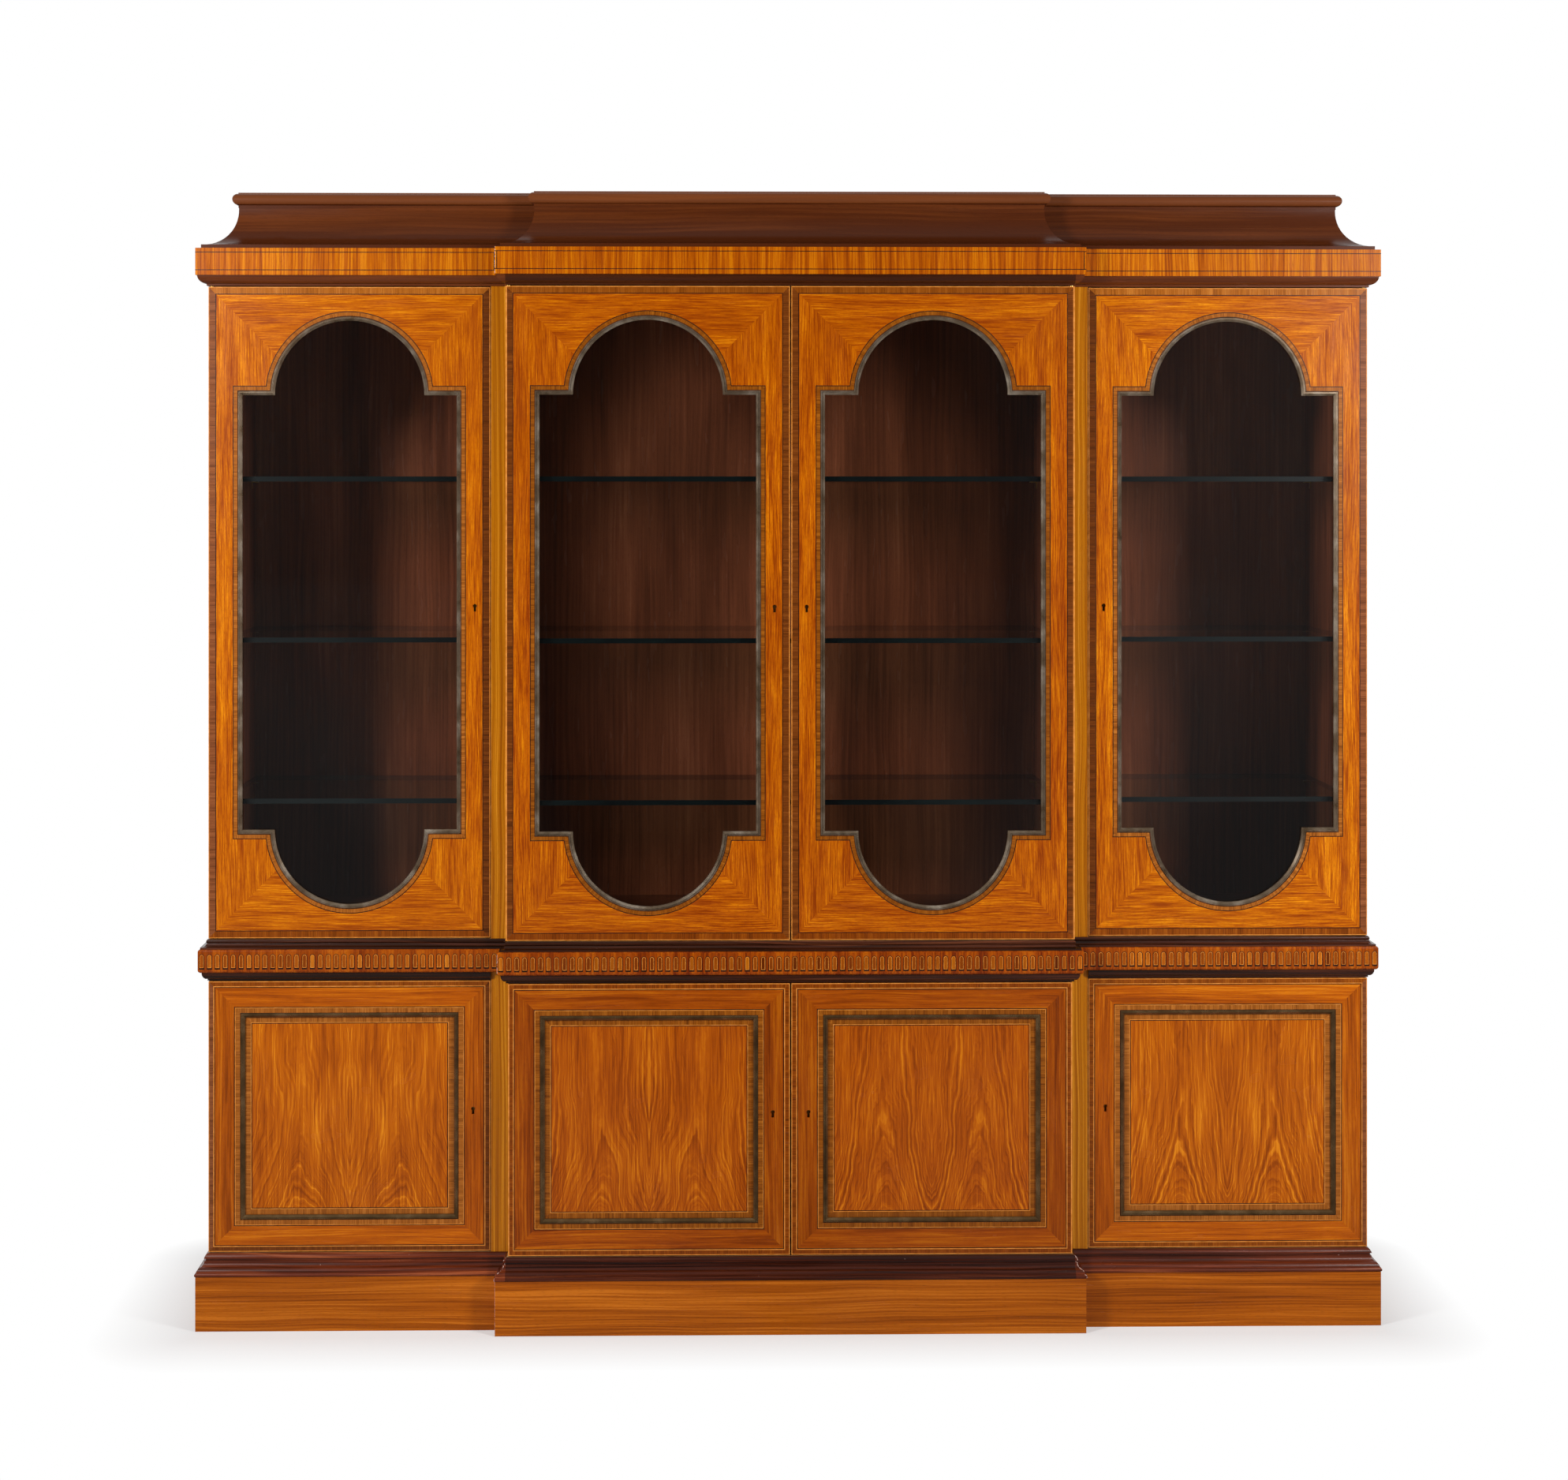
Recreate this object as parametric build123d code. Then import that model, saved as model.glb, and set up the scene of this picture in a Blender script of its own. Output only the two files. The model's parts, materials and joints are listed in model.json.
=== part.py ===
from build123d import *
import os

# Breakfront bookcase. Millimetres, +Z up, the front faces -Y.
# The origin is on the floor, in the middle of the footprint.

# Main sizes of the piece
case_width = 2290.0
face_to_back = 448.0
projection = 38.0
centre_half = 556.0
centre_door_step = 2.5

# Heights from the floor up
plinth_height = 106.0
base_moulding_height = 42.0
lower_door_height = 532.0
under_moulding_height = 17.0
waist_band_height = 46.0
waist_top_height = 18.0
upper_door_height = 1282.0
cornice_under_height = 20.0
frieze_height = 53.0
cornice_lip_height = 7.5
cavetto_height = 74.5
cornice_neck_height = 9.0
cornice_torus_height = 23.0
cornice_fillet_height = 2.0

# How far each level stands out from the door faces
plinth_overhang = 22.0
base_bead_overhang = 24.0
waist_overhang = 18.0
frieze_overhang = 22.0
cornice_under_overhang = 19.0

# Base moulding: flat round, groove, fillet, swept ogee and bead
base_round_out = 7.5
base_round_height = 9.5
base_round_radius = 11.0
base_groove_out = 4.5
base_groove_height = 4.5
base_fillet_out = 7.0
base_fillet_height = 2.0
base_ogee_out = 20.5
base_ogee_swing = 2.5
base_bead_height = 8.0

# Moulding under the band: fillet and ovolo
under_fillet_out = 1.5
under_fillet_height = 4.0
under_ovolo_start = 5.0
under_ovolo_out = 11.5
under_ovolo_radius = 14.0

# Band
band_top_radius = 4.0
band_bottom_radius = 6.5

# Moulding over the band: fillet, cove and bead
waist_bead_foot = 1.5
waist_bead_out = 4.0
waist_bead_height = 8.0
waist_cove_start = 3.0
waist_cove_out = 12.0
waist_fillet_out = 14.0
waist_fillet_height = 4.0

# Moulding under the frieze: fillet and ovolo
ovolo_fillet_out = 3.0
ovolo_fillet_height = 4.0
ovolo_start = 4.0

# Cornice: hollow set back from the frieze, neck and rounded top, rebated behind for the dust boards
cornice_lip_setback = 9.5
cavetto_depth = 63.5
neck_out = 1.0
neck_foot = 4.0
torus_bulge = 11.5
cornice_thickness = 20.0
cornice_heel = 12.0
cornice_back_rise = 36.0
dust_rebate = 8.0
dust_thickness = 10.0

# Boards and clearances
side_thickness = 18.0
floor_thickness = 16.0
back_thickness = 8.0
frame_board_thickness = 18.0
rail_thickness = 36.0
band_backing = 14.0
door_thickness = 22.0
door_case_gap = 1.5
door_gap = 2.0
door_side_gap = 1.5
meeting_gap = 3.0
centre_to_wing_door = 35.5
inner_side_overlap = 12.5

# Glazed doors
glass_margin = 66.0
bead_width = 8.5
rebate_width = 6.0
arch_radius = 147.0
bead_proud = 1.5
bead_chamfer = 1.5
bead_slope = 4.0
bead_quirk_start = 3.0
bead_quirk_width = 0.8
bead_quirk_depth = 0.8
glass_depth = 9.0
glass_thickness = 4.0
pane_clearance = 0.5
rear_bead_width = 8.0
rear_bead_inset = 1.0

# Panelled doors
panel_margin = 71.5
panel_depth = 6.0
panel_thickness = 8.0

# Knife hinges
pivot_inset = 5.0
pivot_depth = 11.0
pin_radius = 2.0
pin_running_fit = 0.05
pin_reach = 6.0
pin_well_radius = 3.0
pin_well_spare = 1.0
boss_radius = 4.0
boss_clearance = 0.1
leaf_thickness = 2.5
door_leaf_start = 1.0
door_leaf_end = 56.0
door_leaf_half_width = 6.0
case_leaf_outer = 2.5
case_leaf_inner = 9.5
case_leaf_front = 4.0
case_leaf_back = 50.0

# Locks, bolts and strikes
upper_key_inset = 30.0
lower_key_inset = 33.5
upper_key_height = 650.0
lower_key_height = 276.0
keyhole_radius = 4.0
keyhole_slot = 5.0
keyhole_height = 15.0
key_chamber_depth = 8.0
lock_width = 42.0
lock_below = 28.0
lock_above = 20.0
lock_front = 10.0
rod_lock_above = 5.0
rod_lock_edge = 8.0
bolt_rise = 13.0
bolt_height = 10.0
bolt_thickness = 5.0
bolt_length = 26.0
bolt_depth = 15.0
bolt_setback = 0.5
bolt_fit = 0.3
bolt_throw = 8.0
mortise_fit = 1.0
strike_thickness = 1.5
strike_length = 24.0
strike_width = 12.0
rod_inset = 20.0
rod_width = 6.0
rod_thickness = 5.0
rod_above_key = 2.0
keeper_width = 18.0
keeper_height = 10.0
keeper_thickness = 1.0
keeper_share = 0.25

# Shelves
glass_shelf_thickness = 10.0
glass_shelf_rise = 247.0
glass_shelf_pitch = 319.0
glass_shelf_count = 3
shelf_setback = 30.0
shelf_end_gap = 1.0
shelf_back_gap = 3.0
support_size = 14.0
support_thickness = 1.5
support_inset = 40.0
wood_shelf_thickness = 18.0
wood_shelf_rise = 255.0
cleat_size = 20.0

# Levels that follow from the heights above
base_top = plinth_height + base_moulding_height
lower_door_bottom = base_top + door_gap
under_bottom = lower_door_bottom + lower_door_height + door_gap
band_bottom = under_bottom + under_moulding_height
band_top = band_bottom + waist_band_height
waist_top = band_top + waist_top_height
upper_door_bottom = waist_top + door_gap
cornice_bottom = upper_door_bottom + upper_door_height + door_gap
frieze_bottom = cornice_bottom + cornice_under_height
frieze_top = frieze_bottom + frieze_height
cornice_lip_top = frieze_top + cornice_lip_height
cavetto_top = cornice_lip_top + cavetto_height
torus_bottom = cavetto_top + cornice_neck_height
torus_top = torus_bottom + cornice_torus_height
overall_height = torus_top + cornice_fillet_height

# Planes that follow from the widths and depths above
half_case = case_width / 2
wing_door_inner = centre_half + centre_to_wing_door
back_y = (base_bead_overhang + projection + face_to_back) / 2
wing_face = back_y - face_to_back
centre_face = wing_face - projection
door_rear = door_thickness + door_case_gap
wing_front = wing_face + door_rear
centre_front = centre_face + door_rear
back_front = back_y - back_thickness
upper_centre_half = centre_half + centre_door_step
lower_centre_half = centre_half - centre_door_step
wing_inner_high = wing_door_inner + inner_side_overlap
wing_inner_low = wing_inner_high - side_thickness
stile_edge = wing_door_inner - door_side_gap
bead_outer = glass_margin - bead_width
mortise_depth = bolt_throw + mortise_fit
panel_bead_outer = panel_margin - bead_width


def board(x0, x1, y0, y1, z0, z1):
    """A straight board between two corners."""
    return Pos((x0 + x1) / 2, (y0 + y1) / 2, (z0 + z1) / 2) * Box(x1 - x0, y1 - y0, z1 - z0)


def both_sides(solids):
    """The given solids of the left half and their mirror images."""
    return solids + [mirror(solid, about=Plane.YZ) for solid in solids]


def save(name, solids):
    """Writes one node as a group of its separate solids."""
    group = Compound(children=[piece for part in solids for piece in part.solids()])
    export_step(group, f"parts/{name}.step")


def section(*edges):
    """A closed profile, drawn outwards along X and upwards along Y."""
    return make_face(edges)


def strip(outer, inner, z0, z1):
    """The plain rectangular section of a board that follows the front."""
    return section(Polyline((inner, z0), (outer, z0), (outer, z1), (inner, z1), close=True))


def front_path():
    """The line of the door faces in plan, from the back left corner round to the back right."""
    left = [
        (-half_case, back_y),
        (-half_case, wing_face),
        (-centre_half, wing_face),
        (-centre_half, centre_face),
    ]
    return left + [(-x, y) for x, y in reversed(left)]


def mitred_runs(profile, path):
    """One straight length for each side of the path, mitred where two sides meet."""
    corners = [Vector(x, y, 0) for x, y in path]
    ways = [(b - a).normalized() for a, b in zip(corners, corners[1:])]
    runs = []
    for i, way in enumerate(ways):
        before = ways[max(i - 1, 0)]
        after = ways[min(i + 1, len(ways) - 1)]
        outward = way.cross(Vector(0, 0, 1))
        length = (corners[i + 1] - corners[i]).length
        start = corners[i] - way * centre_half
        face = Plane(origin=start, x_dir=outward, z_dir=-way) * profile
        run = extrude(face, amount=length + centre_half + centre_half, dir=way)
        first = Plane(origin=corners[i], z_dir=before + way)
        last = Plane(origin=corners[i + 1], z_dir=way + after)
        run = split(run, bisect_by=first, keep=Keep.TOP)
        runs.append(split(run, bisect_by=last, keep=Keep.BOTTOM))
    return runs


# Sections of the mouldings

def base_section():
    """Flat round, groove, fillet, swept ogee and bead, from the top down."""
    groove_top = base_top - base_round_height
    fillet_top = groove_top - base_groove_height
    ogee_top = fillet_top - base_fillet_height
    bead_top = plinth_height + base_bead_height
    bead_middle = plinth_height + base_bead_height / 2
    swing = base_ogee_swing / 2
    middle = ((base_fillet_out + base_ogee_out) / 2, (ogee_top + bead_top) / 2)
    upper = ((base_fillet_out + middle[0]) / 2 - swing, (ogee_top + middle[1]) / 2 - swing)
    lower = ((base_ogee_out + middle[0]) / 2 + swing, (bead_top + middle[1]) / 2 + swing)
    return section(
        Line((0, plinth_height), (0, base_top)),
        RadiusArc((0, base_top), (base_round_out, groove_top), base_round_radius),
        Polyline((base_round_out, groove_top), (base_groove_out, groove_top),
                 (base_groove_out, fillet_top), (base_fillet_out, fillet_top),
                 (base_fillet_out, ogee_top)),
        ThreePointArc((base_fillet_out, ogee_top), upper, middle),
        ThreePointArc(middle, lower, (base_ogee_out, bead_top)),
        ThreePointArc((base_ogee_out, bead_top), (base_bead_overhang, bead_middle),
                      (base_ogee_out, plinth_height)),
        Line((base_ogee_out, plinth_height), (0, plinth_height)),
    )


def under_section():
    """Fillet and flat ovolo, below the fluted band."""
    fillet_top = under_bottom + under_fillet_height
    return section(
        Polyline((under_ovolo_out, band_bottom), (0, band_bottom), (0, under_bottom),
                 (under_fillet_out, under_bottom), (under_fillet_out, fillet_top),
                 (under_ovolo_start, fillet_top)),
        RadiusArc((under_ovolo_start, fillet_top), (under_ovolo_out, band_bottom), -under_ovolo_radius),
    )


def band_section():
    """Flat band with a small round above and a larger one below."""
    round_top = band_bottom + band_bottom_radius
    round_foot = band_top - band_top_radius
    lower = waist_overhang - band_bottom_radius
    upper = waist_overhang - band_top_radius
    return section(
        Polyline((upper, band_top), (-band_backing, band_top), (-band_backing, band_bottom),
                 (lower, band_bottom)),
        RadiusArc((lower, band_bottom), (waist_overhang, round_top), -band_bottom_radius),
        Line((waist_overhang, round_top), (waist_overhang, round_foot)),
        RadiusArc((waist_overhang, round_foot), (upper, band_top), -band_top_radius),
    )


def waist_top_section():
    """Small bead, cove and fillet, above the fluted band."""
    bead_low = waist_top - waist_bead_height
    bead_middle = bead_low + waist_bead_height / 2
    fillet_top = band_top + waist_fillet_height
    cove_radius = waist_cove_out - waist_cove_start
    return section(
        Polyline((waist_bead_foot, waist_top), (0, waist_top), (0, band_top), (waist_fillet_out, band_top),
                 (waist_fillet_out, fillet_top), (waist_cove_out, fillet_top)),
        RadiusArc((waist_cove_out, fillet_top), (waist_cove_start, bead_low), cove_radius),
        Line((waist_cove_start, bead_low), (waist_bead_foot, bead_low)),
        ThreePointArc((waist_bead_foot, bead_low), (waist_bead_out, bead_middle),
                      (waist_bead_foot, waist_top)),
    )


def cornice_under_section():
    """Fillet and ovolo below the frieze."""
    fillet_top = cornice_bottom + ovolo_fillet_height
    radius = frieze_bottom - fillet_top
    return section(
        Polyline((cornice_under_overhang, frieze_bottom), (0, frieze_bottom), (0, cornice_bottom),
                 (ovolo_fillet_out, cornice_bottom), (ovolo_fillet_out, fillet_top),
                 (ovolo_start, fillet_top)),
        RadiusArc((ovolo_start, fillet_top), (cornice_under_overhang, frieze_bottom), -radius),
    )


def cornice_section():
    """Lip, deep hollow, neck, rounded top and fillet, with a rebate behind for the dust boards."""
    lip = frieze_overhang - cornice_lip_setback
    hollow = lip - cavetto_depth
    neck_foot_top = cavetto_top + neck_foot
    torus_foot = hollow + neck_out
    torus_middle = (torus_bottom + torus_top) / 2
    rear = hollow - cornice_thickness
    rear_bottom = frieze_top + cornice_back_rise
    rebate = rear + dust_rebate
    rebate_floor = overall_height - dust_thickness
    return section(
        Polyline((-cornice_heel, frieze_top), (lip, frieze_top), (lip, cornice_lip_top)),
        EllipticalCenterArc((lip, cavetto_top), cavetto_depth, cavetto_height,
                            start_angle=180, arc_size=90),
        Polyline((hollow, cavetto_top), (hollow, neck_foot_top), (torus_foot, neck_foot_top),
                 (torus_foot, torus_bottom)),
        ThreePointArc((torus_foot, torus_bottom), (hollow + torus_bulge, torus_middle),
                      (torus_foot, torus_top)),
        Polyline((torus_foot, torus_top), (torus_foot, overall_height), (rebate, overall_height),
                 (rebate, rebate_floor), (rear, rebate_floor), (rear, rear_bottom),
                 (-cornice_heel, frieze_top)),
    )


# Doors, drawn flat: X from the hinge edge, Y from the front face, Z from the bottom edge

def arched_opening(width, height, margin):
    """Upright opening with a half circle rising from its top and falling from its bottom."""
    grow = glass_margin - margin
    shoulder = glass_margin + arch_radius - grow
    middle = Pos(width / 2, height / 2) * Rectangle(width - margin - margin, height - shoulder - shoulder)
    circle = Circle(arch_radius + grow)
    centres = (glass_margin + arch_radius, height - glass_margin - arch_radius)
    return middle + [Pos(width / 2, centre) * circle for centre in centres]


def square_opening(width, height, margin):
    """Plain rectangle inside a panelled door."""
    return Pos(width / 2, height / 2) * Rectangle(width - margin - margin, height - margin - margin)


def slab(sketch, y0, y1):
    """Pushes an outline through the door's thickness, from y0 to y1."""
    face = Plane(origin=(0, y0, 0), x_dir=(1, 0, 0), z_dir=(0, -1, 0)) * sketch
    return extrude(face, amount=y1 - y0, dir=(0, 1, 0))


def cut_in_lengths(ring, width, height, side, rail):
    """Parts a ring into its two upright lengths and the shaped lengths between them."""
    cuts = (
        board(0, side, -door_thickness, door_thickness, 0, height),
        board(width - side, width, -door_thickness, door_thickness, 0, height),
        board(side, width - side, -door_thickness, door_thickness, 0, rail),
        board(side, width - side, -door_thickness, door_thickness, height - rail, height),
    )
    return [ring & cut for cut in cuts]


def keyhole(x, z, y1):
    """Round head over a slot, from the front face back to y1."""
    head_z = z + keyhole_height / 2 - keyhole_radius
    slot_low = z - keyhole_height / 2
    head = Pos(x, head_z) * Circle(keyhole_radius)
    slot = Pos(x, (head_z + slot_low) / 2) * Rectangle(keyhole_slot, head_z - slot_low)
    return slab(head + slot, 0, y1)


def upright_pin(x, y, z0, z1, radius):
    """A round upright pin or well."""
    return Pos(x, y, (z0 + z1) / 2) * Cylinder(radius, z1 - z0)


def bottom_door_leaf():
    """The hinge leaf in the bottom edge of a door, with the hole for the pin."""
    y0 = pivot_depth - door_leaf_half_width
    y1 = pivot_depth + door_leaf_half_width
    plate = board(door_leaf_start, door_leaf_end, y0, y1, 0, leaf_thickness)
    hole = upright_pin(pivot_inset, pivot_depth, 0, leaf_thickness, pin_radius + pin_running_fit)
    return plate, plate - hole


def bottom_case_leaf():
    """The hinge leaf in the case below a door: plate, washer boss and pin in one."""
    plate = board(pivot_inset - case_leaf_outer, pivot_inset + case_leaf_inner,
                  pivot_depth - case_leaf_front, pivot_depth + case_leaf_back,
                  -door_gap - leaf_thickness, -door_gap)
    boss = upright_pin(pivot_inset, pivot_depth, -door_gap, -boss_clearance, boss_radius)
    pin = upright_pin(pivot_inset, pivot_depth, -boss_clearance, pin_reach, pin_radius)
    return plate, plate + boss + pin


def top_and_bottom(solid, height):
    """The given solid and its image at the other end of the door."""
    flip = Plane(origin=(0, 0, height / 2), z_dir=(0, 0, 1))
    return [solid, mirror(solid, about=flip)]


class Door:
    """One door with its glass or panel, bead, hinge leaves, lock and bolt, and what the case holds for it."""

    def __init__(self, name, right, upper, centre):
        self.name = name
        self.right = right
        self.upper = upper
        self.passive = centre and not right
        block_half = upper_centre_half if upper else lower_centre_half
        self.outer = block_half if centre else half_case
        inner = meeting_gap / 2 if centre else wing_door_inner
        self.width = self.outer - inner
        self.face = centre_face if centre else wing_face
        self.bottom = upper_door_bottom if upper else lower_door_bottom
        self.height = upper_door_height if upper else lower_door_height
        self.key_x = self.width - (upper_key_inset if upper else lower_key_inset)
        self.key_z = upper_key_height if upper else lower_key_height
        self.bolt_z = self.key_z + bolt_rise
        self.gap_to_strike = meeting_gap if centre else door_side_gap

    def place(self, solids):
        """Stands flat-drawn solids at the door's place in the bookcase."""
        placed = [Pos(-self.outer, self.face, self.bottom) * solid for solid in solids]
        if self.right:
            placed = [mirror(solid, about=Plane.YZ) for solid in placed]
        return placed

    def lock_case(self):
        """The lock's block, cut for its bolt and key."""
        edge = self.width - rod_lock_edge if self.passive else self.width
        above = rod_lock_above if self.passive else lock_above
        return board(self.width - lock_width, edge, lock_front, door_thickness,
                     self.key_z - lock_below, self.key_z + above)

    def bolt(self, fit):
        """The bolt, or with a fit its channel in the lock and the wood."""
        if self.passive:
            x = self.width - rod_inset
            rear = door_thickness - bolt_fit
            foot = bolt_setback if not fit else 0
            rear_cut = door_thickness if fit else rear
            return board(x - rod_width / 2 - fit, x + rod_width / 2 + fit,
                         rear - rod_thickness - fit, rear_cut,
                         foot, self.key_z + rod_above_key + fit)
        tip = self.width - bolt_setback if not fit else self.width
        tail = self.width - bolt_setback - bolt_length - fit
        return board(tail, tip, bolt_depth - bolt_thickness / 2 - fit, bolt_depth + bolt_thickness / 2 + fit,
                     self.bolt_z - bolt_height / 2 - fit, self.bolt_z + bolt_height / 2 + fit)

    def keepers(self):
        """Plates that hold the rod bolt in its groove."""
        x = self.width - rod_inset
        low = keeper_share * (self.key_z - lock_below)
        high = (1 - keeper_share) * (self.key_z - lock_below)
        return [board(x - keeper_width / 2, x + keeper_width / 2,
                      door_thickness, door_thickness + keeper_thickness,
                      z - keeper_height / 2, z + keeper_height / 2) for z in (low, high)]

    def strike(self, edge, way):
        """Strike plate let into an upright face at x = edge, and the mortise behind it."""
        inner = edge + way * strike_thickness
        deep = edge + way * (strike_thickness + mortise_depth)
        half_y = strike_width / 2
        half_z = strike_length / 2
        plate = board(min(edge, inner), max(edge, inner), bolt_depth - half_y, bolt_depth + half_y,
                      self.bolt_z - half_z, self.bolt_z + half_z)
        room_y = bolt_thickness / 2 + mortise_fit
        room_z = bolt_height / 2 + mortise_fit
        room = board(min(edge, deep), max(edge, deep), bolt_depth - room_y, bolt_depth + room_y,
                     self.bolt_z - room_z, self.bolt_z + room_z)
        return plate, room

    def floor_strike(self):
        """Strike plate in the board under the door, and the hole for the rod bolt."""
        x = self.width - rod_inset
        y = door_thickness - bolt_fit - rod_thickness / 2
        half = strike_width / 2
        room_x = rod_width / 2 + mortise_fit
        room_y = rod_thickness / 2 + mortise_fit
        top = -door_gap
        plate = board(x - half, x + half, y - half, y + half, top - strike_thickness, top)
        room = board(x - room_x, x + room_x, y - room_y, y + room_y, top - mortise_depth, top)
        return plate, room

    def make(self):
        """Writes the door's nodes, and returns what is fixed to the case and cut out of it."""
        if self.upper:
            opening = arched_opening
            sight, bead_edge, depth, thickness = glass_margin, bead_outer, glass_depth, glass_thickness
            rail = glass_margin + arch_radius
        else:
            opening = square_opening
            sight, bead_edge, depth, thickness = panel_margin, panel_bead_outer, panel_depth, panel_thickness
            rail = bead_edge
        rebate_edge = bead_edge - rebate_width
        size = (self.width, self.height)

        leaf_bed, door_leaf = bottom_door_leaf()
        well = upright_pin(pivot_inset, pivot_depth, 0, pin_reach + pin_well_spare, pin_well_radius)
        case_bed, case_leaf = bottom_case_leaf()
        lock = self.lock_case()
        key = keyhole(self.key_x, self.key_z, lock_front + key_chamber_depth)
        channel = self.bolt(bolt_fit)
        hardware = top_and_bottom(door_leaf, self.height) + [lock - channel - key]

        frame = slab(Pos(self.width / 2, self.height / 2) * Rectangle(*size), 0, door_thickness)
        frame -= slab(opening(*size, bead_edge), 0, depth)
        frame -= slab(opening(*size, rebate_edge), depth, door_thickness)
        frame -= top_and_bottom(leaf_bed + well, self.height)
        frame -= [lock, channel, key]
        if self.passive:
            plate, room = self.strike(self.width, -1)
            frame -= [plate, room]
            hardware += [plate - room] + self.keepers()
        pieces = cut_in_lengths(frame, self.width, self.height, bead_edge, rail)
        rear_inner = rebate_edge + rear_bead_width
        rear = slab(opening(*size, rebate_edge) - opening(*size, rear_inner),
                    depth + thickness, door_thickness - rear_bead_inset)
        rear_rail = rail - glass_margin + rear_inner if self.upper else rear_inner
        pieces += cut_in_lengths(rear, self.width, self.height, rear_inner, rear_rail)

        bead = slab(opening(*size, bead_edge) - opening(*size, sight), -bead_proud, depth)
        front = bead.faces().sort_by(Axis.Y)[0]
        sloped = front.inner_wires()[0].edges()
        bead = chamfer(sloped, bead_slope)
        outer = bead.faces().sort_by(Axis.Y)[0].outer_wire().edges()
        bead = chamfer(outer, bead_chamfer)
        quirk = bead_edge + bead_quirk_start
        quirk_line = opening(*size, quirk) - opening(*size, quirk + bead_quirk_width)
        bead -= slab(quirk_line, -bead_proud, bead_quirk_depth - bead_proud)

        filling = slab(opening(*size, rebate_edge + pane_clearance), depth, depth + thickness)
        save(f"{self.name}_door_frame", self.place(pieces))
        save(f"{self.name}_door_{'glass' if self.upper else 'panel'}", self.place([filling]))
        save(f"{self.name}_door_bead", self.place([bead]))
        save(f"{self.name}_door_hardware", self.place(hardware))
        save(f"{self.name}_door_bolt", self.place([self.bolt(0)]))

        fixed = top_and_bottom(case_leaf, self.height)
        beds = top_and_bottom(case_bed, self.height)
        if self.passive:
            plate, room = self.floor_strike()
            fixed.append(plate - room)
            beds += [plate, room]
        elif self.gap_to_strike == door_side_gap:
            plate, room = self.strike(self.width + door_side_gap, 1)
            fixed.append(plate - room)
            beds += [plate, room]
        return self.place(fixed), self.place(beds)


# Carcase

def plinth():
    """Mitred boards round the front and sides, back rail and two bearers."""
    inner = plinth_overhang - rail_thickness
    runs = mitred_runs(strip(plinth_overhang, inner, 0, plinth_height), front_path())
    end = half_case + inner
    back_rail = board(-end, end, back_y - rail_thickness, back_y, 0, plinth_height)
    middle = (centre_half + wing_inner_low) / 2
    bearer = board(-middle - rail_thickness / 2, -middle + rail_thickness / 2,
                   wing_face - inner, back_y - rail_thickness, 0, plinth_height)
    return runs + [back_rail] + both_sides([bearer])


def three_boards(z0, z1, front_inset, half):
    """Two wing boards and a centre board, from the front line to the back."""
    wing = board(-half, -centre_half, wing_face + front_inset, back_y, z0, z1)
    centre = board(-centre_half, centre_half, centre_face + front_inset, back_y, z0, z1)
    return both_sides([wing]) + [centre]


def base_framing():
    """Rails on the plinth and the boards that carry the lower cases."""
    board_bottom = base_top - frame_board_thickness
    rails = mitred_runs(strip(0, -rail_thickness, plinth_height, board_bottom), front_path())
    end = half_case - rail_thickness
    back_rail = board(-end, end, back_y - rail_thickness, back_y, plinth_height, board_bottom)
    return rails + [back_rail] + three_boards(board_bottom, base_top, 0, half_case)


def waist_framing():
    """Boards under and over the waist band, with a back rail and two cross rails between."""
    end = half_case - band_backing
    back_rail = board(-end, end, back_y - rail_thickness, back_y, band_bottom, band_top)
    middle = (centre_half + wing_inner_low) / 2
    cross = board(-middle - rail_thickness / 2, -middle + rail_thickness / 2,
                  wing_face + band_backing, back_y - rail_thickness, band_bottom, band_top)
    under = three_boards(under_bottom, band_bottom, 0, half_case)
    over = three_boards(band_top, waist_top, 0, half_case)
    return under + over + [back_rail] + both_sides([cross])


def cornice_framing():
    """Boards over the doors, back rail and dust boards."""
    hollow_depth = cornice_lip_setback + cavetto_depth - frieze_overhang
    inset = hollow_depth + cornice_thickness - dust_rebate
    boards = three_boards(cornice_bottom, frieze_bottom, 0, half_case)
    dust_bottom = overall_height - dust_thickness
    end = half_case - band_backing
    low_rail = board(-end, end, back_y - rail_thickness, back_y, frieze_bottom, frieze_top)
    end = half_case - inset - dust_rebate
    high_rail = board(-end, end, back_y - rail_thickness, back_y, frieze_top, dust_bottom)
    split_x = centre_half - inset
    wing = board(-half_case + inset, -split_x, wing_face + inset, back_y, dust_bottom, overall_height)
    centre = board(-split_x, split_x, centre_face + inset, back_y, dust_bottom, overall_height)
    return boards + [low_rail, high_rail, centre] + both_sides([wing])


def case_sides(z0, z1, block_half):
    """Outer and inner sides of the wing cases, and sides of the centre case."""
    outer = board(-half_case, -half_case + side_thickness, wing_front, back_front, z0, z1)
    inner = board(-wing_inner_high, -wing_inner_low, wing_front, back_front, z0, z1)
    centre = board(-block_half, -block_half + side_thickness, centre_front, back_front, z0, z1)
    return both_sides([outer, inner, centre])


def floors_and_tops(z0, z1, block_half):
    """Floor and top of the three cases between two levels."""
    levels = ((z0, z0 + floor_thickness), (z1 - floor_thickness, z1))
    boards = []
    for low, high in levels:
        wing = board(-half_case + side_thickness, -wing_inner_high, wing_front, back_front, low, high)
        end = block_half - side_thickness
        boards += both_sides([wing]) + [board(-end, end, centre_front, back_front, low, high)]
    return boards


def back_panels():
    """Three back panels at each stage."""
    joint = (centre_half + wing_inner_low) / 2
    panels = []
    for z0, z1 in ((base_top, under_bottom), (waist_top, cornice_bottom)):
        wing = board(-half_case, -joint, back_front, back_y, z0, z1)
        panels += both_sides([wing]) + [board(-joint, joint, back_front, back_y, z0, z1)]
    return panels


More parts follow.
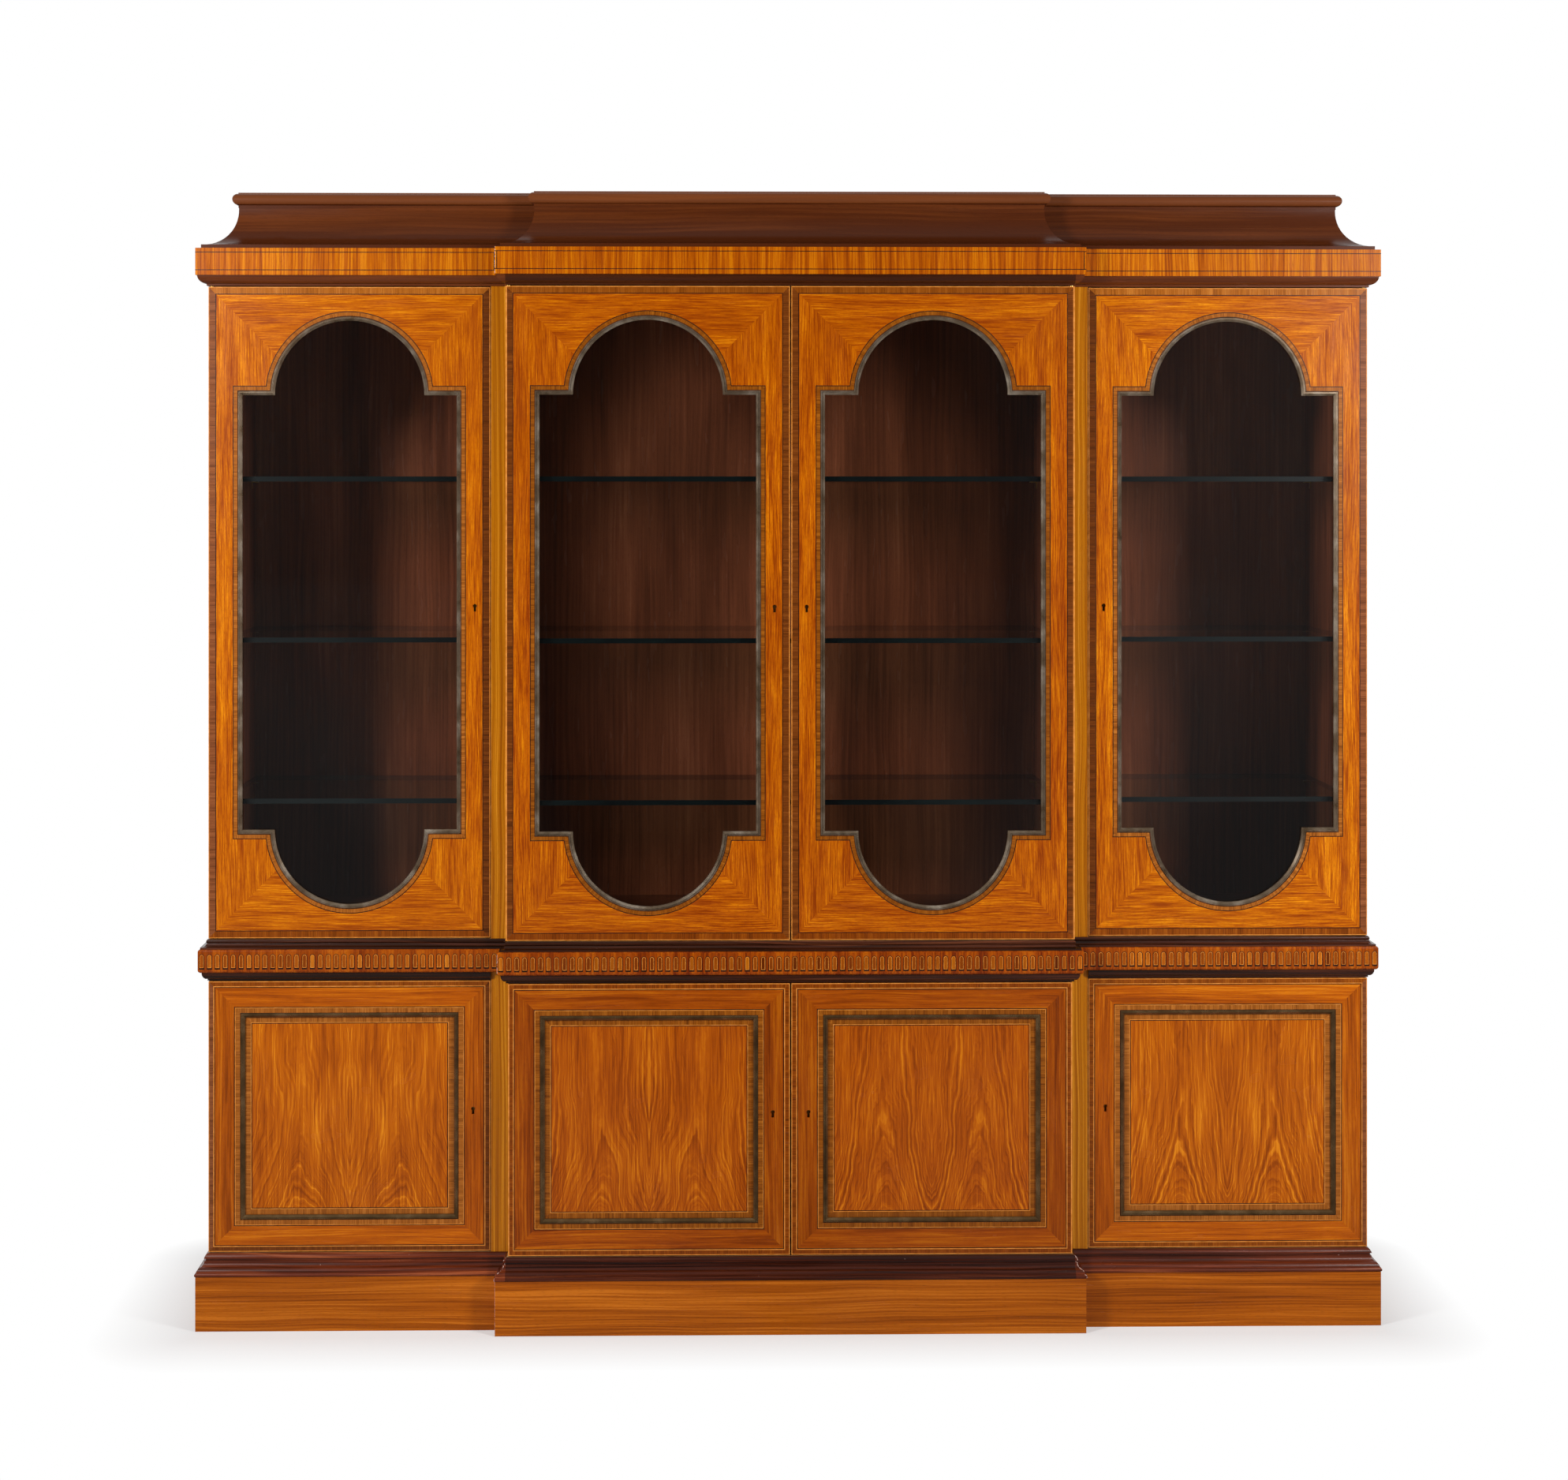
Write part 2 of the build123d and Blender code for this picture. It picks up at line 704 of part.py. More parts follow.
def lower_shelves():
    """One shelf on two cleats in each cupboard."""
    top = base_top + wood_shelf_rise
    bottom = top - wood_shelf_thickness
    end = lower_centre_half - side_thickness
    rear = back_front - shelf_back_gap
    spans = ((-half_case + side_thickness, -wing_inner_high, wing_front + shelf_setback),
             (-end, end, centre_front + shelf_setback),
             (wing_inner_high, half_case - side_thickness, wing_front + shelf_setback))
    pieces = []
    for x0, x1, front in spans:
        pieces.append(board(x0 + shelf_end_gap, x1 - shelf_end_gap, front, rear, bottom, top))
        for a, b in ((x0, x0 + cleat_size), (x1 - cleat_size, x1)):
            pieces.append(board(a, b, front, rear, bottom - cleat_size, bottom))
    return pieces


def glass_shelves():
    """Three glass shelves in each bay, and the brass brackets under their corners."""
    end = upper_centre_half - side_thickness
    rear = back_front - shelf_back_gap
    front_gap = shelf_setback - door_rear
    spans = ((-half_case + side_thickness, -wing_inner_high, wing_front + front_gap),
             (-end, end, centre_front + front_gap),
             (wing_inner_high, half_case - side_thickness, wing_front + front_gap))
    shelves = []
    brackets = []
    for x0, x1, front in spans:
        for step in range(glass_shelf_count):
            z = waist_top + floor_thickness + glass_shelf_rise + step * glass_shelf_pitch
            shelves.append(board(x0 + shelf_end_gap, x1 - shelf_end_gap, front, rear,
                                 z, z + glass_shelf_thickness))
            for wall, way in ((x0, 1), (x1, -1)):
                for y in (front + support_inset, rear - support_inset):
                    brackets.append(bracket(wall, way, y, z))
    return shelves, brackets


def bracket(wall, way, y, top):
    """Angle of brass plate fixed to a case side."""
    ledge = wall + way * support_size
    plate = wall + way * support_thickness
    y0 = y - support_size / 2
    y1 = y + support_size / 2
    seat = board(min(wall, ledge), max(wall, ledge), y0, y1, top - support_thickness, top)
    return seat + board(min(wall, plate), max(wall, plate), y0, y1, top - support_size, top)


def fixed_stiles(cuts):
    """Upright stiles that close the wings against the centre, at both stages."""
    rear = wing_front
    low = board(-stile_edge, -lower_centre_half, wing_face, rear, base_top, band_bottom)
    high = board(-stile_edge, -upper_centre_half, wing_face, rear, waist_top, cornice_bottom)
    stiles = both_sides([low, high])
    return [stile - cuts for stile in stiles]


def waist_mouldings():
    """The dark runs under and over the band. The lower runs stop against the fixed stiles."""
    wing_path = [(-half_case, back_y), (-half_case, wing_face), (-stile_edge, wing_face)]
    block_path = [(-centre_half, wing_face), (-centre_half, centre_face),
                  (centre_half, centre_face), (centre_half, wing_face)]
    under = both_sides(mitred_runs(under_section(), wing_path))
    under += mitred_runs(under_section(), block_path)
    return under + mitred_runs(waist_top_section(), front_path())


def main():
    os.makedirs("parts", exist_ok=True)
    doors = []
    for level in ("upper", "lower"):
        for side in ("left", "right"):
            doors.append(Door(f"{level}_{side}_wing", side == "right", level == "upper", False))
            doors.append(Door(f"{level}_{side}_centre", side == "right", level == "upper", True))
    hardware = []
    beds = []
    for door in doors:
        fixed, cut = door.make()
        hardware += fixed
        beds += cut

    stiles = fixed_stiles(beds)
    save("plinth", plinth())
    save("base_moulding", mitred_runs(base_section(), front_path()))
    save("base_framing", [piece - beds for piece in base_framing()])
    save("lower_case_sides", case_sides(base_top, under_bottom, lower_centre_half))
    save("lower_case_floors_and_tops", floors_and_tops(base_top, under_bottom, lower_centre_half))
    save("lower_shelves", lower_shelves())
    save("fixed_stiles", stiles)
    save("waist_mouldings", waist_mouldings())
    save("waist_band", mitred_runs(band_section(), front_path()))
    save("waist_framing", [piece - beds - stiles for piece in waist_framing()])
    save("upper_case_sides", case_sides(waist_top, cornice_bottom, upper_centre_half))
    save("upper_case_floors_and_tops", floors_and_tops(waist_top, cornice_bottom, upper_centre_half))
    save("back_panels", back_panels())
    save("cornice_under_moulding", mitred_runs(cornice_under_section(), front_path()))
    frieze = strip(frieze_overhang, -band_backing, frieze_bottom, frieze_top)
    save("frieze", mitred_runs(frieze, front_path()))
    save("cornice_moulding", mitred_runs(cornice_section(), front_path()))
    save("cornice_framing", [piece - beds for piece in cornice_framing()])
    shelves, brackets = glass_shelves()
    save("glass_shelves", shelves)
    save("shelf_supports", brackets)
    save("case_hardware", hardware)


main()
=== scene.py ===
import json
import math
import random

import bmesh
import bpy
from mathutils import Euler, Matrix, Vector
from mathutils.geometry import delaunay_2d_cdt


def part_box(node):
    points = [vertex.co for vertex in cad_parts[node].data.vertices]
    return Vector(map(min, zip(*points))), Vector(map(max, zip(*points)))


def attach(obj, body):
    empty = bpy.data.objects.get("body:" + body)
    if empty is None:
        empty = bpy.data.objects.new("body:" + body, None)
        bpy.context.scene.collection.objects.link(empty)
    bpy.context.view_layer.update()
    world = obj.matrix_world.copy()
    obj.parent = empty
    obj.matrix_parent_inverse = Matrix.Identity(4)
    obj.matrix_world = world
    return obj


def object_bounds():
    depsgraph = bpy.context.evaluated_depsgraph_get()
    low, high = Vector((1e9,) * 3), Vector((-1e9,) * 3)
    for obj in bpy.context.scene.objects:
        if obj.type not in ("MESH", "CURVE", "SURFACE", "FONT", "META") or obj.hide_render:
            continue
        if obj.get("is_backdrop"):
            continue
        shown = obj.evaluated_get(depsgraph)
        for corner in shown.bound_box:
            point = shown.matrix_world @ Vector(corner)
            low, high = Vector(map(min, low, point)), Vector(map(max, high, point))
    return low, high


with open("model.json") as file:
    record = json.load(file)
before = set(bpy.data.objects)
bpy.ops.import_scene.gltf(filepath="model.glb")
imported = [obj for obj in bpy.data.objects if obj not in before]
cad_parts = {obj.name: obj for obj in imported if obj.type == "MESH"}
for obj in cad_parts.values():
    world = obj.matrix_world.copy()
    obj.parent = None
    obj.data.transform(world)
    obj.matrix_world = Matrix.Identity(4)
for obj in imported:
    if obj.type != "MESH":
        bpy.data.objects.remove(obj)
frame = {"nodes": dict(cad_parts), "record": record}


def plain(value):
    """Nested vectors as plain lists of numbers."""
    try:
        return [plain(v) for v in value]
    except TypeError:
        return float(value)


CAD_BOX = plain(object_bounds())

# Lengths are in metres, colours in sRGB from 0 to 255.
MM = 0.001

# Each piece of veneer is cut from its own place in the timber, up to that many metres off
RANDOM_SEED = 11
LONGEST_SHIFT = 9

# Camera, worked out from the photograph's lines
CAMERA_PLACE = (-0.1921, -5.3125, 1.6566)
CAMERA_TURN = -0.951
CAMERA_LENS = 59.52
CAMERA_REACH = 200
SENSOR_WIDTH = 36.0
CAMERA_SHIFT = (0.0308, -0.1618)

# Lamps: name, place, what it points at, watts
LAMPS = (("lamp_left", (-2.45, -2.5, 2.3), (-0.5, -0.2, 1.2), 95.5),
         ("lamp_right", (2.5, -2.55, 2.1), (0.5, -0.2, 1.1), 90))
LAMP_SIZE = (0.65, 0.8)

# Thickness of veneers and lines above the wood they lie on
VENEER = 0.2 * MM
LINE_PROUD = 0.15 * MM
INLAY_PROUD = 0.2 * MM

# Glazed doors, as in the solids
GLASS_MARGIN = 66 * MM
ARCH_RADIUS = 147 * MM
BEAD_WIDTH = 8.5 * MM
# Painted shadow: a dark line round the outer edge of each bead
BEAD_SHADOW = 0.9 * MM
UPPER_EDGE_LINE = 1.6 * MM
UPPER_OUTER_LINE = 3.0 * MM
UPPER_BAND = 13.5 * MM
UPPER_LINE = 1.6 * MM
UPPER_INNER_BAND = 8.2 * MM
UPPER_INNER_LINE = 1.6 * MM

# Panelled doors
PANEL_MARGIN = 71.5 * MM
LOWER_EDGE_LINE = 1.6 * MM
LOWER_OUTER_LINE = 2.6 * MM
LOWER_BAND = 9.4 * MM
LOWER_PALE_LINE = 1.8 * MM
LOWER_DARK_LINE = 1.6 * MM
LOWER_INNER_BAND = 10.0 * MM
LOWER_INNER_PALE = 1.2 * MM
LOWER_INNER_DARK = 1.6 * MM
PANEL_BAND = 10.5 * MM
PANEL_PALE = 1.3 * MM
PANEL_DARK = 1.5 * MM

# Keyholes, as in the solids
KEYHOLE_RADIUS = 4 * MM
KEYHOLE_SLOT = 5 * MM
KEYHOLE_HEIGHT = 15 * MM

# Lines of the frieze, from its top and bottom edges
FRIEZE_LINE_TOP = 7.7 * MM
FRIEZE_LINE_BOTTOM = 9.0 * MM
FRIEZE_LINE = 1.5 * MM
FRIEZE_LINE_END = 4.0 * MM

# Inlaid flutes of the waist band
FLUTE_PITCH = 15.4 * MM
FLUTE_WIDTH = 10.4 * MM
FLUTE_BOTTOM = 708.6 * MM
FLUTE_TOP = 738.8 * MM
FLUTE_OUTLINE = 1.3 * MM
FLUTE_PALE = 0.9 * MM
FLUTE_BASE = 3.2 * MM

# Width of the painted highlight, a pale line on the outer edge of the fixed stiles
STILE_HIGHLIGHT = 0.9 * MM

# Steps of the curves, how outlines are cut into triangles, and how close counts as touching
ARC_STEPS = 40
KEYHOLE_STEPS = 20
FLUTE_STEPS = 7
FLOOR_STEPS = 96
WHOLE_HULL = 0
CUT_TOLERANCE = 1e-7
TOUCH = 1e-6

# Noise: detail and roughness, and for the figure also the distortion
FINE_NOISE = (3.0, 0.62)
BROAD_NOISE = (3.0, 0.55)
FIGURE_NOISE = (3.0, 0.6, 1.2)
PORE_NOISE = (1.0, 0.5)
SPECK_NOISE = (2.0, 0.6)
CHIP_NOISE = (3.0, 0.7)
RING_NOISE = (3.0, 0.6)
BRASS_NOISE = (4.0, 0.6)
MIDDLE_SPAN = (0.3, 0.7)

# Wood: counts a metre along and across the grain, spans of the noise that show, and strengths
WARP = (3.0, 9.0)
WARP_REACH = 0.018
PORES = (70.0, 1300.0)
PORE_SPAN = (0.6, 0.72)
PORE_DARKNESS = 0.62
SPECK_SPAN = (0.53, 0.66)
POLISH_MARKS = (9.0, 60.0)
PATCHES = (2.3, 2.3, 1.7)
PATCH_STRENGTH = 0.35
PATCH_DARKNESS = 0.86
TONE_SPREAD = (0.39, 0.61)
GRAIN_RELIEF = 0.06 * MM
FINE_RELIEF = 0.05 * MM
POLISHED = (0.22, 0.28)
SHINE = 0.2
COAT_ROUGHNESS = 0.16
LEVEL_DEPTH = 0.1

# Timber of the case: veneer outside, dark timber inside
CASE_WOODS = (((6.0, 420.0), (1.6, 34.0)), ((6.0, 300.0), (1.2, 26.0)))
CASE_PLACES = (0.32, 0.44, 0.56, 0.68)
CASE_ROUGHNESS = (0.34, 0.5)

# Stringing
LINE_MARKS = 90.0
LINE_SPREAD = (0.35, 0.65)
LINE_ROUGHNESS = (-0.06, 0.08)
LINE_RELIEF = 0.03 * MM

# Wear
EDGE_CHIPS = (260.0, 260.0, 190.0)
EDGE_CHIP_SPAN = (0.35, 0.75)
KNOCKS = 240.0
KNOCK_SPAN = (0.46, 0.75)
KNOCK_WIDTH = 3.2 * MM
KNOCK_REACH = 0.03
KNOCK_STRENGTH = 0.8
MOULD_SPECKS = (150.0, 150.0, 420.0)
SPECK_LEVEL = 0.79

# Round at the top of the cornice, with a painted highlight on it: its height, and the highlight's share and
# tone
TORUS_HEIGHT = 23 * MM
TORUS_HIGHLIGHT = 0.28
TORUS_HIGHLIGHT_TONE = (150, 86, 48)

# Figure of the lower panels: arches in the middle of each leaf, which straighten towards the top.
# Threes are counts a metre along and across the leaf, and a strength.
LEAF_MIDDLE = 93 * MM
ARCH_SOFTNESS = 23 * MM
ARCH_SLOPE = 2.6
FLAME_FADE = 0.11
FLAME_SWAY = (6.0, 12.0, 0.05)
FLAME_JITTER = (30.0, 90.0, 0.02)
FLAME_FINE = (11.0, 430.0, 0.4)
FLAME_CLOUD = (7.0, 26.0, 0.25)
FLAME_RINGS = 78.0
FLAME_REACH = 0.3
FLAME_STRENGTH = (0.55, 0.34)
FLAME_PLACES = (0.36, 0.46, 0.54, 0.66)
FLAME_POLISH = 14.0
DOOR_PITCH = 0.58
DOOR_SEED = 7.3
EULER = 2.718

# Brass
BRASS_PATCHES = 28.0
BRASS_PLACES = (0.3, 0.5, 0.72)
BRASS_MARKS = 300.0
BRASS_RELIEF = 0.02 * MM

# Glass of the doors and of the shelves
GLASS_IOR = 1.45
PANE_MARKS = (3.0, 3.0, 5.0)
PANE_ROUGHNESS = (0.015, 0.04)
SHELF_MARKS = 6.0
SHELF_ROUGHNESS = 0.04
SHELF_EDGE_ROUGHNESS = 0.2
WHITE = (1, 1, 1, 1)

# Floor: its grey, the share of plain white beside the object and away from it, and what it mirrors
FLOOR_RADIUS = 40.0
FLOOR_DROP = 0.3 * MM
FLOOR_GREY = (0.8, 0.8, 0.8, 1)
FLOOR_CLEAR = (0.3, 1.0)
FLOOR_MIRRORED = 0.06
FLOOR_GLOW_REACH = (1.0, 5.0)
SHADOW_REACH = 0.2

# Room, by direction: y points away from the camera
ROOM_MIRRORED = 0.02
SIDES_MIRRORED = 0.25
SIDES_FROM = (0.09, 0.22)
BEHIND_FROM = (-0.1, 0.35)
ABOVE_FROM = (0.35, 0.95)
ABOVE_MIRRORED = 0.35
FILL_FROM = (-0.8, -0.3)
WORLD_FILL = 0.3
FRONT_FILL = 0.03

# Colours, from dark to light
SATIN_UPPER = ((134, 53, 0), (170, 83, 0), (194, 105, 0), (222, 136, 10))
SATIN_LOWER = ((130, 55, 0), (162, 75, 0), (180, 89, 0), (204, 114, 10))
SATIN_LOWER_STILE = ((116, 48, 0), (148, 67, 0), (168, 81, 0), (192, 106, 8))
SATIN_PANEL = ((126, 54, 0), (153, 71, 0), (174, 87, 0), (206, 122, 14))
SATIN_PLINTH = ((116, 52, 0), (148, 71, 2), (168, 86, 6), (192, 106, 20))
SATIN_FRIEZE = ((128, 54, 0), (160, 76, 0), (182, 95, 0), (206, 122, 8))
SATIN_STILE = ((150, 80, 0), (174, 100, 2), (192, 117, 8), (218, 144, 30))
SATIN_BAND = ((106, 36, 0), (136, 57, 0), (156, 70, 0), (178, 92, 4))
SATIN_FLUTE = ((92, 36, 0), (130, 58, 2), (158, 78, 6), (198, 118, 24))
CROSSBAND = ((74, 34, 4), (98, 46, 8), (110, 54, 11), (128, 68, 20))
CROSSBAND_OUTER = ((92, 47, 18), (115, 62, 31), (128, 71, 37), (144, 85, 48))
CROSSBAND_TOP = ((124, 64, 8), (150, 82, 16), (166, 94, 24), (184, 114, 42))
CROSSBAND_LOW = ((96, 42, 0), (122, 56, 2), (136, 65, 4), (156, 84, 14))
CROSSBAND_LIGHT = ((112, 58, 10), (140, 76, 18), (158, 90, 26), (182, 112, 44))
MAHOGANY = ((48, 14, 2), (84, 30, 8), (110, 44, 16), (156, 80, 42))
MAHOGANY_DARK = ((26, 8, 0), (46, 18, 4), (60, 24, 8), (92, 46, 24))
CORNICE = ((72, 30, 8), (90, 42, 14), (104, 50, 18), (126, 68, 30))
INSIDE = ((60, 30, 17), (98, 52, 31), (124, 69, 43), (156, 95, 64))
CARCASE_TIMBER = ((120, 84, 52), (150, 110, 72), (166, 126, 86), (184, 146, 104))
BEAD_UPPER = ((104, 84, 62), (148, 128, 106), (204, 188, 168))
BEAD_LOWER = ((84, 62, 36), (112, 86, 54), (144, 114, 78))
BRASS = ((120, 88, 40), (176, 138, 72), (206, 170, 98))
# Pale and ebony stringing, whose tones also paint the highlight on the fixed stiles and the shadow round the
# beads
PALE_LINE_AND_HIGHLIGHT = ((182, 108, 32), (208, 132, 54))
EBONY_AND_SHADOW = ((22, 8, 4), (44, 16, 6))
FLUTE_DARK_TONES = ((24, 8, 2), (48, 18, 4))
FLUTE_PALE_TONES = ((186, 104, 26), (214, 134, 48))
SHELF_EDGE = ((3, 8, 9), (8, 18, 18))
PANE_TINT = (249, 249, 249)
SHELF_TINT = (236, 246, 243)
SCUFF = (226, 190, 176)

# Painted shade: what the centre, which gets less light and sheen than the wings, keeps of red, green and
# blue, and how far past the doors it reaches
CENTRE_SHADE_UPPER = (0.87, 0.79, 0.5)
CENTRE_SHADE_LOWER = (0.72, 0.65, 0.3)
# On the centre doors' top crossband: painted shadow under the cornice
CENTRE_SHADE_TOP = (0.66, 0.56, 0.36)
# On the centre's mouldings: painted shade for the frontal light they lack
CENTRE_SHADE_MOULDING = (0.42, 0.4, 0.36)
CENTRE_SHADE_REACH = 2 * MM


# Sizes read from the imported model

def low(node):
    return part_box(node)[0]


def high(node):
    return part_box(node)[1]


WING_FACE = low("upper_left_wing_door_frame").y
CENTRE_FACE = low("upper_left_centre_door_frame").y
HALF_CASE = -low("upper_left_wing_door_frame").x
CENTRE_HALF = -(low("upper_left_centre_door_frame").x + low("lower_left_centre_door_frame").x) / 2
BACK_Y = high("back_panels").y
BAND_OUT = high("waist_band").x - HALF_CASE
FRIEZE_OUT = high("frieze").x - HALF_CASE
PLINTH_OUT = high("plinth").x - HALF_CASE
CASE_END = HALF_CASE - 0.5 * MM


def front_path(out):
    """The corners of the front in plan, that far out from the door faces."""
    left = [(-HALF_CASE - out, BACK_Y), (-HALF_CASE - out, WING_FACE - out),
            (-CENTRE_HALF - out, WING_FACE - out), (-CENTRE_HALF - out, CENTRE_FACE - out)]
    return left + [(-x, y) for x, y in reversed(left)]


# Node helpers

def srgb(r, g, b):
    """An sRGB colour as Blender's linear colour."""
    out = []
    for c in (r, g, b):
        c = c / 255
        out.append(c / 12.92 if c <= 0.04045 else ((c + 0.055) / 1.055) ** 2.4)
    return (*out, 1.0)


class Tree:
    """Builds one node tree. new gives a node, and the other methods give what comes out of it."""

    def __init__(self, tree):
        self.tree = tree
        tree.nodes.clear()

    def new(self, kind, inputs=None, **settings):
        node = self.tree.nodes.new(kind)
        for key, value in settings.items():
            setattr(node, key, value)
        for key, value in (inputs or {}).items():
            if isinstance(value, bpy.types.NodeSocket):
                self.tree.links.new(value, node.inputs[key])
            else:
                node.inputs[key].default_value = value
        return node

    def math(self, operation, a, b=0.0):
        return self.new("ShaderNodeMath", {0: a, 1: b}, operation=operation).outputs[0]

    def plus(self, a, b):
        return self.math("ADD", a, b)

    def minus(self, a, b):
        return self.math("SUBTRACT", a, b)

    def times(self, a, b):
        return self.math("MULTIPLY", a, b)

    def larger(self, a, b):
        return self.math("MAXIMUM", a, b)

    def size(self, a):
        return self.math("ABSOLUTE", a)

    def length(self, a, b):
        return self.math("SQRT", self.plus(self.times(a, a), self.times(b, b)))

    def about_zero(self, noise, strength):
        """Noise from 0 to 1 as a lift or a drop."""
        return self.times(self.minus(noise, 0.5), strength)

    def span(self, value, start, end, to_low=0.0, to_high=1.0):
        inputs = {"Value": value, "From Min": start, "From Max": end, "To Min": to_low, "To Max": to_high}
        return self.new("ShaderNodeMapRange", inputs, clamp=True).outputs[0]

    def place(self):
        """The point in the object's own frame."""
        return self.new("ShaderNodeTexCoord").outputs["Object"]

    def split(self, vector):
        return self.new("ShaderNodeSeparateXYZ", {0: vector}).outputs

    def join(self, x, y, z):
        return self.new("ShaderNodeCombineXYZ", {0: x, 1: y, 2: z}).outputs[0]

    def vector_math(self, operation, a, b):
        return self.new("ShaderNodeVectorMath", {0: a, 1: b}, operation=operation).outputs[0]

    def noise(self, vector, detail=2.0, roughness=0.5, distortion=0.0):
        inputs = {"Vector": vector, "Scale": 1.0, "Detail": detail, "Roughness": roughness,
                  "Distortion": distortion}
        return self.new("ShaderNodeTexNoise", inputs).outputs[0]

    def noise_1d(self, w, detail, roughness):
        inputs = {"W": w, "Scale": 1.0, "Detail": detail, "Roughness": roughness}
        return self.new("ShaderNodeTexNoise", inputs, noise_dimensions="1D").outputs[0]

    def grain(self, space, counts, *noise):
        """Noise with that many counts a metre along and across the grain."""
        along, across = counts
        return self.noise(self.vector_math("MULTIPLY", space, (along, across, across)), *noise)

    def marks(self, counts, *noise):
        """Noise in the object's own frame, with one count a metre for all ways, or three."""
        counts = counts if isinstance(counts, tuple) else (counts, counts, counts)
        return self.noise(self.vector_math("MULTIPLY", self.place(), counts), *noise)

    def ramp(self, factor, places, tones):
        """sRGB tones from dark to light at those places of the factor."""
        node = self.new("ShaderNodeValToRGB", {0: factor})
        points = node.color_ramp.elements
        while len(points) < len(tones):
            points.new(0.5)
        for point, place, tone in zip(points, places, tones):
            point.position = place
            point.color = srgb(*tone)
        return node.outputs[0]

    def mix(self, factor, a, b, blend="MIX"):
        inputs = {0: factor, 6: a, 7: b}
        return self.new("ShaderNodeMix", inputs, data_type="RGBA", blend_type=blend).outputs[2]

    def bump(self, height, distance):
        return self.new("ShaderNodeBump", {"Height": height, "Distance": distance}).outputs[0]

    def shader(self, kind, inputs):
        return self.new(f"ShaderNode{kind}", inputs).outputs[0]

    def between(self, share, first, second):
        """The first shader, with that share of the second."""
        return self.shader("MixShader", {0: share, 1: first, 2: second})

    def finish(self, shader):
        self.new("ShaderNodeOutputMaterial", {"Surface": shader})

    def principled(self, inputs):
        self.finish(self.shader("BsdfPrincipled", inputs))


# Materials by name

M = {}


def new_material(name):
    M[name] = bpy.data.materials.new(name)
    M[name].use_nodes = True
    return Tree(M[name].node_tree)


def grain_space(t, source):
    """A vector whose x runs along the grain and whose y and z run across it, in metres."""
    if source == "uv":
        return t.new("ShaderNodeUVMap", uv_map="grain").outputs[0]
    x, y, z = t.split(t.place())
    if source == "upright":
        return t.join(z, x, y)
    return t.join(t.plus(x, y), z, t.times(y, LEVEL_DEPTH))


def shaded_centre(t, colour, shade_kept):
    """Painted shade: the doors and fronts of the centre are darkened and made less blue than the wings, for
    the light and sheen they lack.
    """
    x = t.split(t.place())[0]
    inside = t.math("LESS_THAN", t.size(x), CENTRE_HALF + CENTRE_SHADE_REACH)
    return t.mix(inside, colour, (*shade_kept, 1.0), "MULTIPLY")


def wood(name, source, tones, streak, broad, figure=None, pores=0.4, weights=(0.5, 0.5),
         roughness=POLISHED, shine=SHINE, coat=0.0, worn=None, spread=TONE_SPREAD, speck=None, deep=None):
    """Polished wood, with tones from dark to light spread over the noise.

    streak and broad are counts a metre along and across the grain, and weights are their shares. figure and
    speck are such counts with a strength. The centre's darkening is painted shade, and what is painted on top
    is wear, except on the cornice's round, where it is a painted highlight.
    """
    t = new_material(name)
    space = grain_space(t, source)
    warp = t.grain(space, WARP, 1.0)
    shifted = t.vector_math("ADD", space, t.join(0.0, t.times(warp, WARP_REACH), 0.0))
    fine = t.grain(shifted, streak, *FINE_NOISE)
    wide = t.grain(shifted, broad, *BROAD_NOISE)
    value = t.plus(t.times(fine, weights[0]), t.times(wide, weights[1]))
    if figure:
        value = t.plus(value, t.about_zero(t.grain(shifted, figure[:2], *FIGURE_NOISE), figure[2]))
    places = [spread[0] + (spread[1] - spread[0]) * i / (len(tones) - 1) for i in range(len(tones))]
    colour = t.ramp(value, places, tones)
    mask = t.span(t.grain(space, PORES, *PORE_NOISE), *PORE_SPAN, 0.0, pores)
    colour = t.mix(mask, colour, srgb(*[c * PORE_DARKNESS for c in tones[0]]))
    if speck:
        flecks = t.grain(space, speck[:2], *SPECK_NOISE)
        colour = t.mix(t.span(flecks, *SPECK_SPAN, 0.0, speck[2]), colour, srgb(*tones[0]))
    shade = t.span(t.marks(PATCHES), *MIDDLE_SPAN, 0.0, PATCH_STRENGTH)
    colour = t.mix(shade, colour, srgb(*[c * PATCH_DARKNESS for c in tones[1]]))
    # Painted shade on the centre
    if deep:
        colour = shaded_centre(t, colour, deep)
    # Wear painted on top; on the cornice, a painted highlight on its round
    if worn:
        colour = worn(t, colour)
    rough = t.span(t.grain(space, POLISH_MARKS), *MIDDLE_SPAN, *roughness)
    t.principled({"Base Color": colour, "Roughness": rough, "Specular IOR Level": shine,
                  "Coat Weight": coat, "Coat Roughness": COAT_ROUGHNESS,
                  "Normal": t.bump(fine, GRAIN_RELIEF)})


def line_wood(name, tones, roughness=0.4):
    """Thin stringing: one timber with small changes of tone along its length."""
    t = new_material(name)
    tone = t.marks(LINE_MARKS, 3.0)
    rough = t.span(tone, *MIDDLE_SPAN, *[roughness + change for change in LINE_ROUGHNESS])
    t.principled({"Base Color": t.ramp(tone, LINE_SPREAD, tones), "Roughness": rough,
                  "Specular IOR Level": SHINE, "Normal": t.bump(tone, LINE_RELIEF)})


def worn_corner(out, width, amount=1.0):
    """Pale wear along the upright edge of the break on the left, broken up by noise."""
    def paint(t, base):
        x, y, _ = t.split(t.place())
        far = t.length(t.plus(x, CENTRE_HALF + out), t.minus(y, CENTRE_FACE - out))
        reach = t.span(t.marks(EDGE_CHIPS, *CHIP_NOISE), *EDGE_CHIP_SPAN, 0.0, width)
        return t.mix(t.times(t.math("LESS_THAN", far, reach), amount), base, srgb(*SCUFF))
    return paint


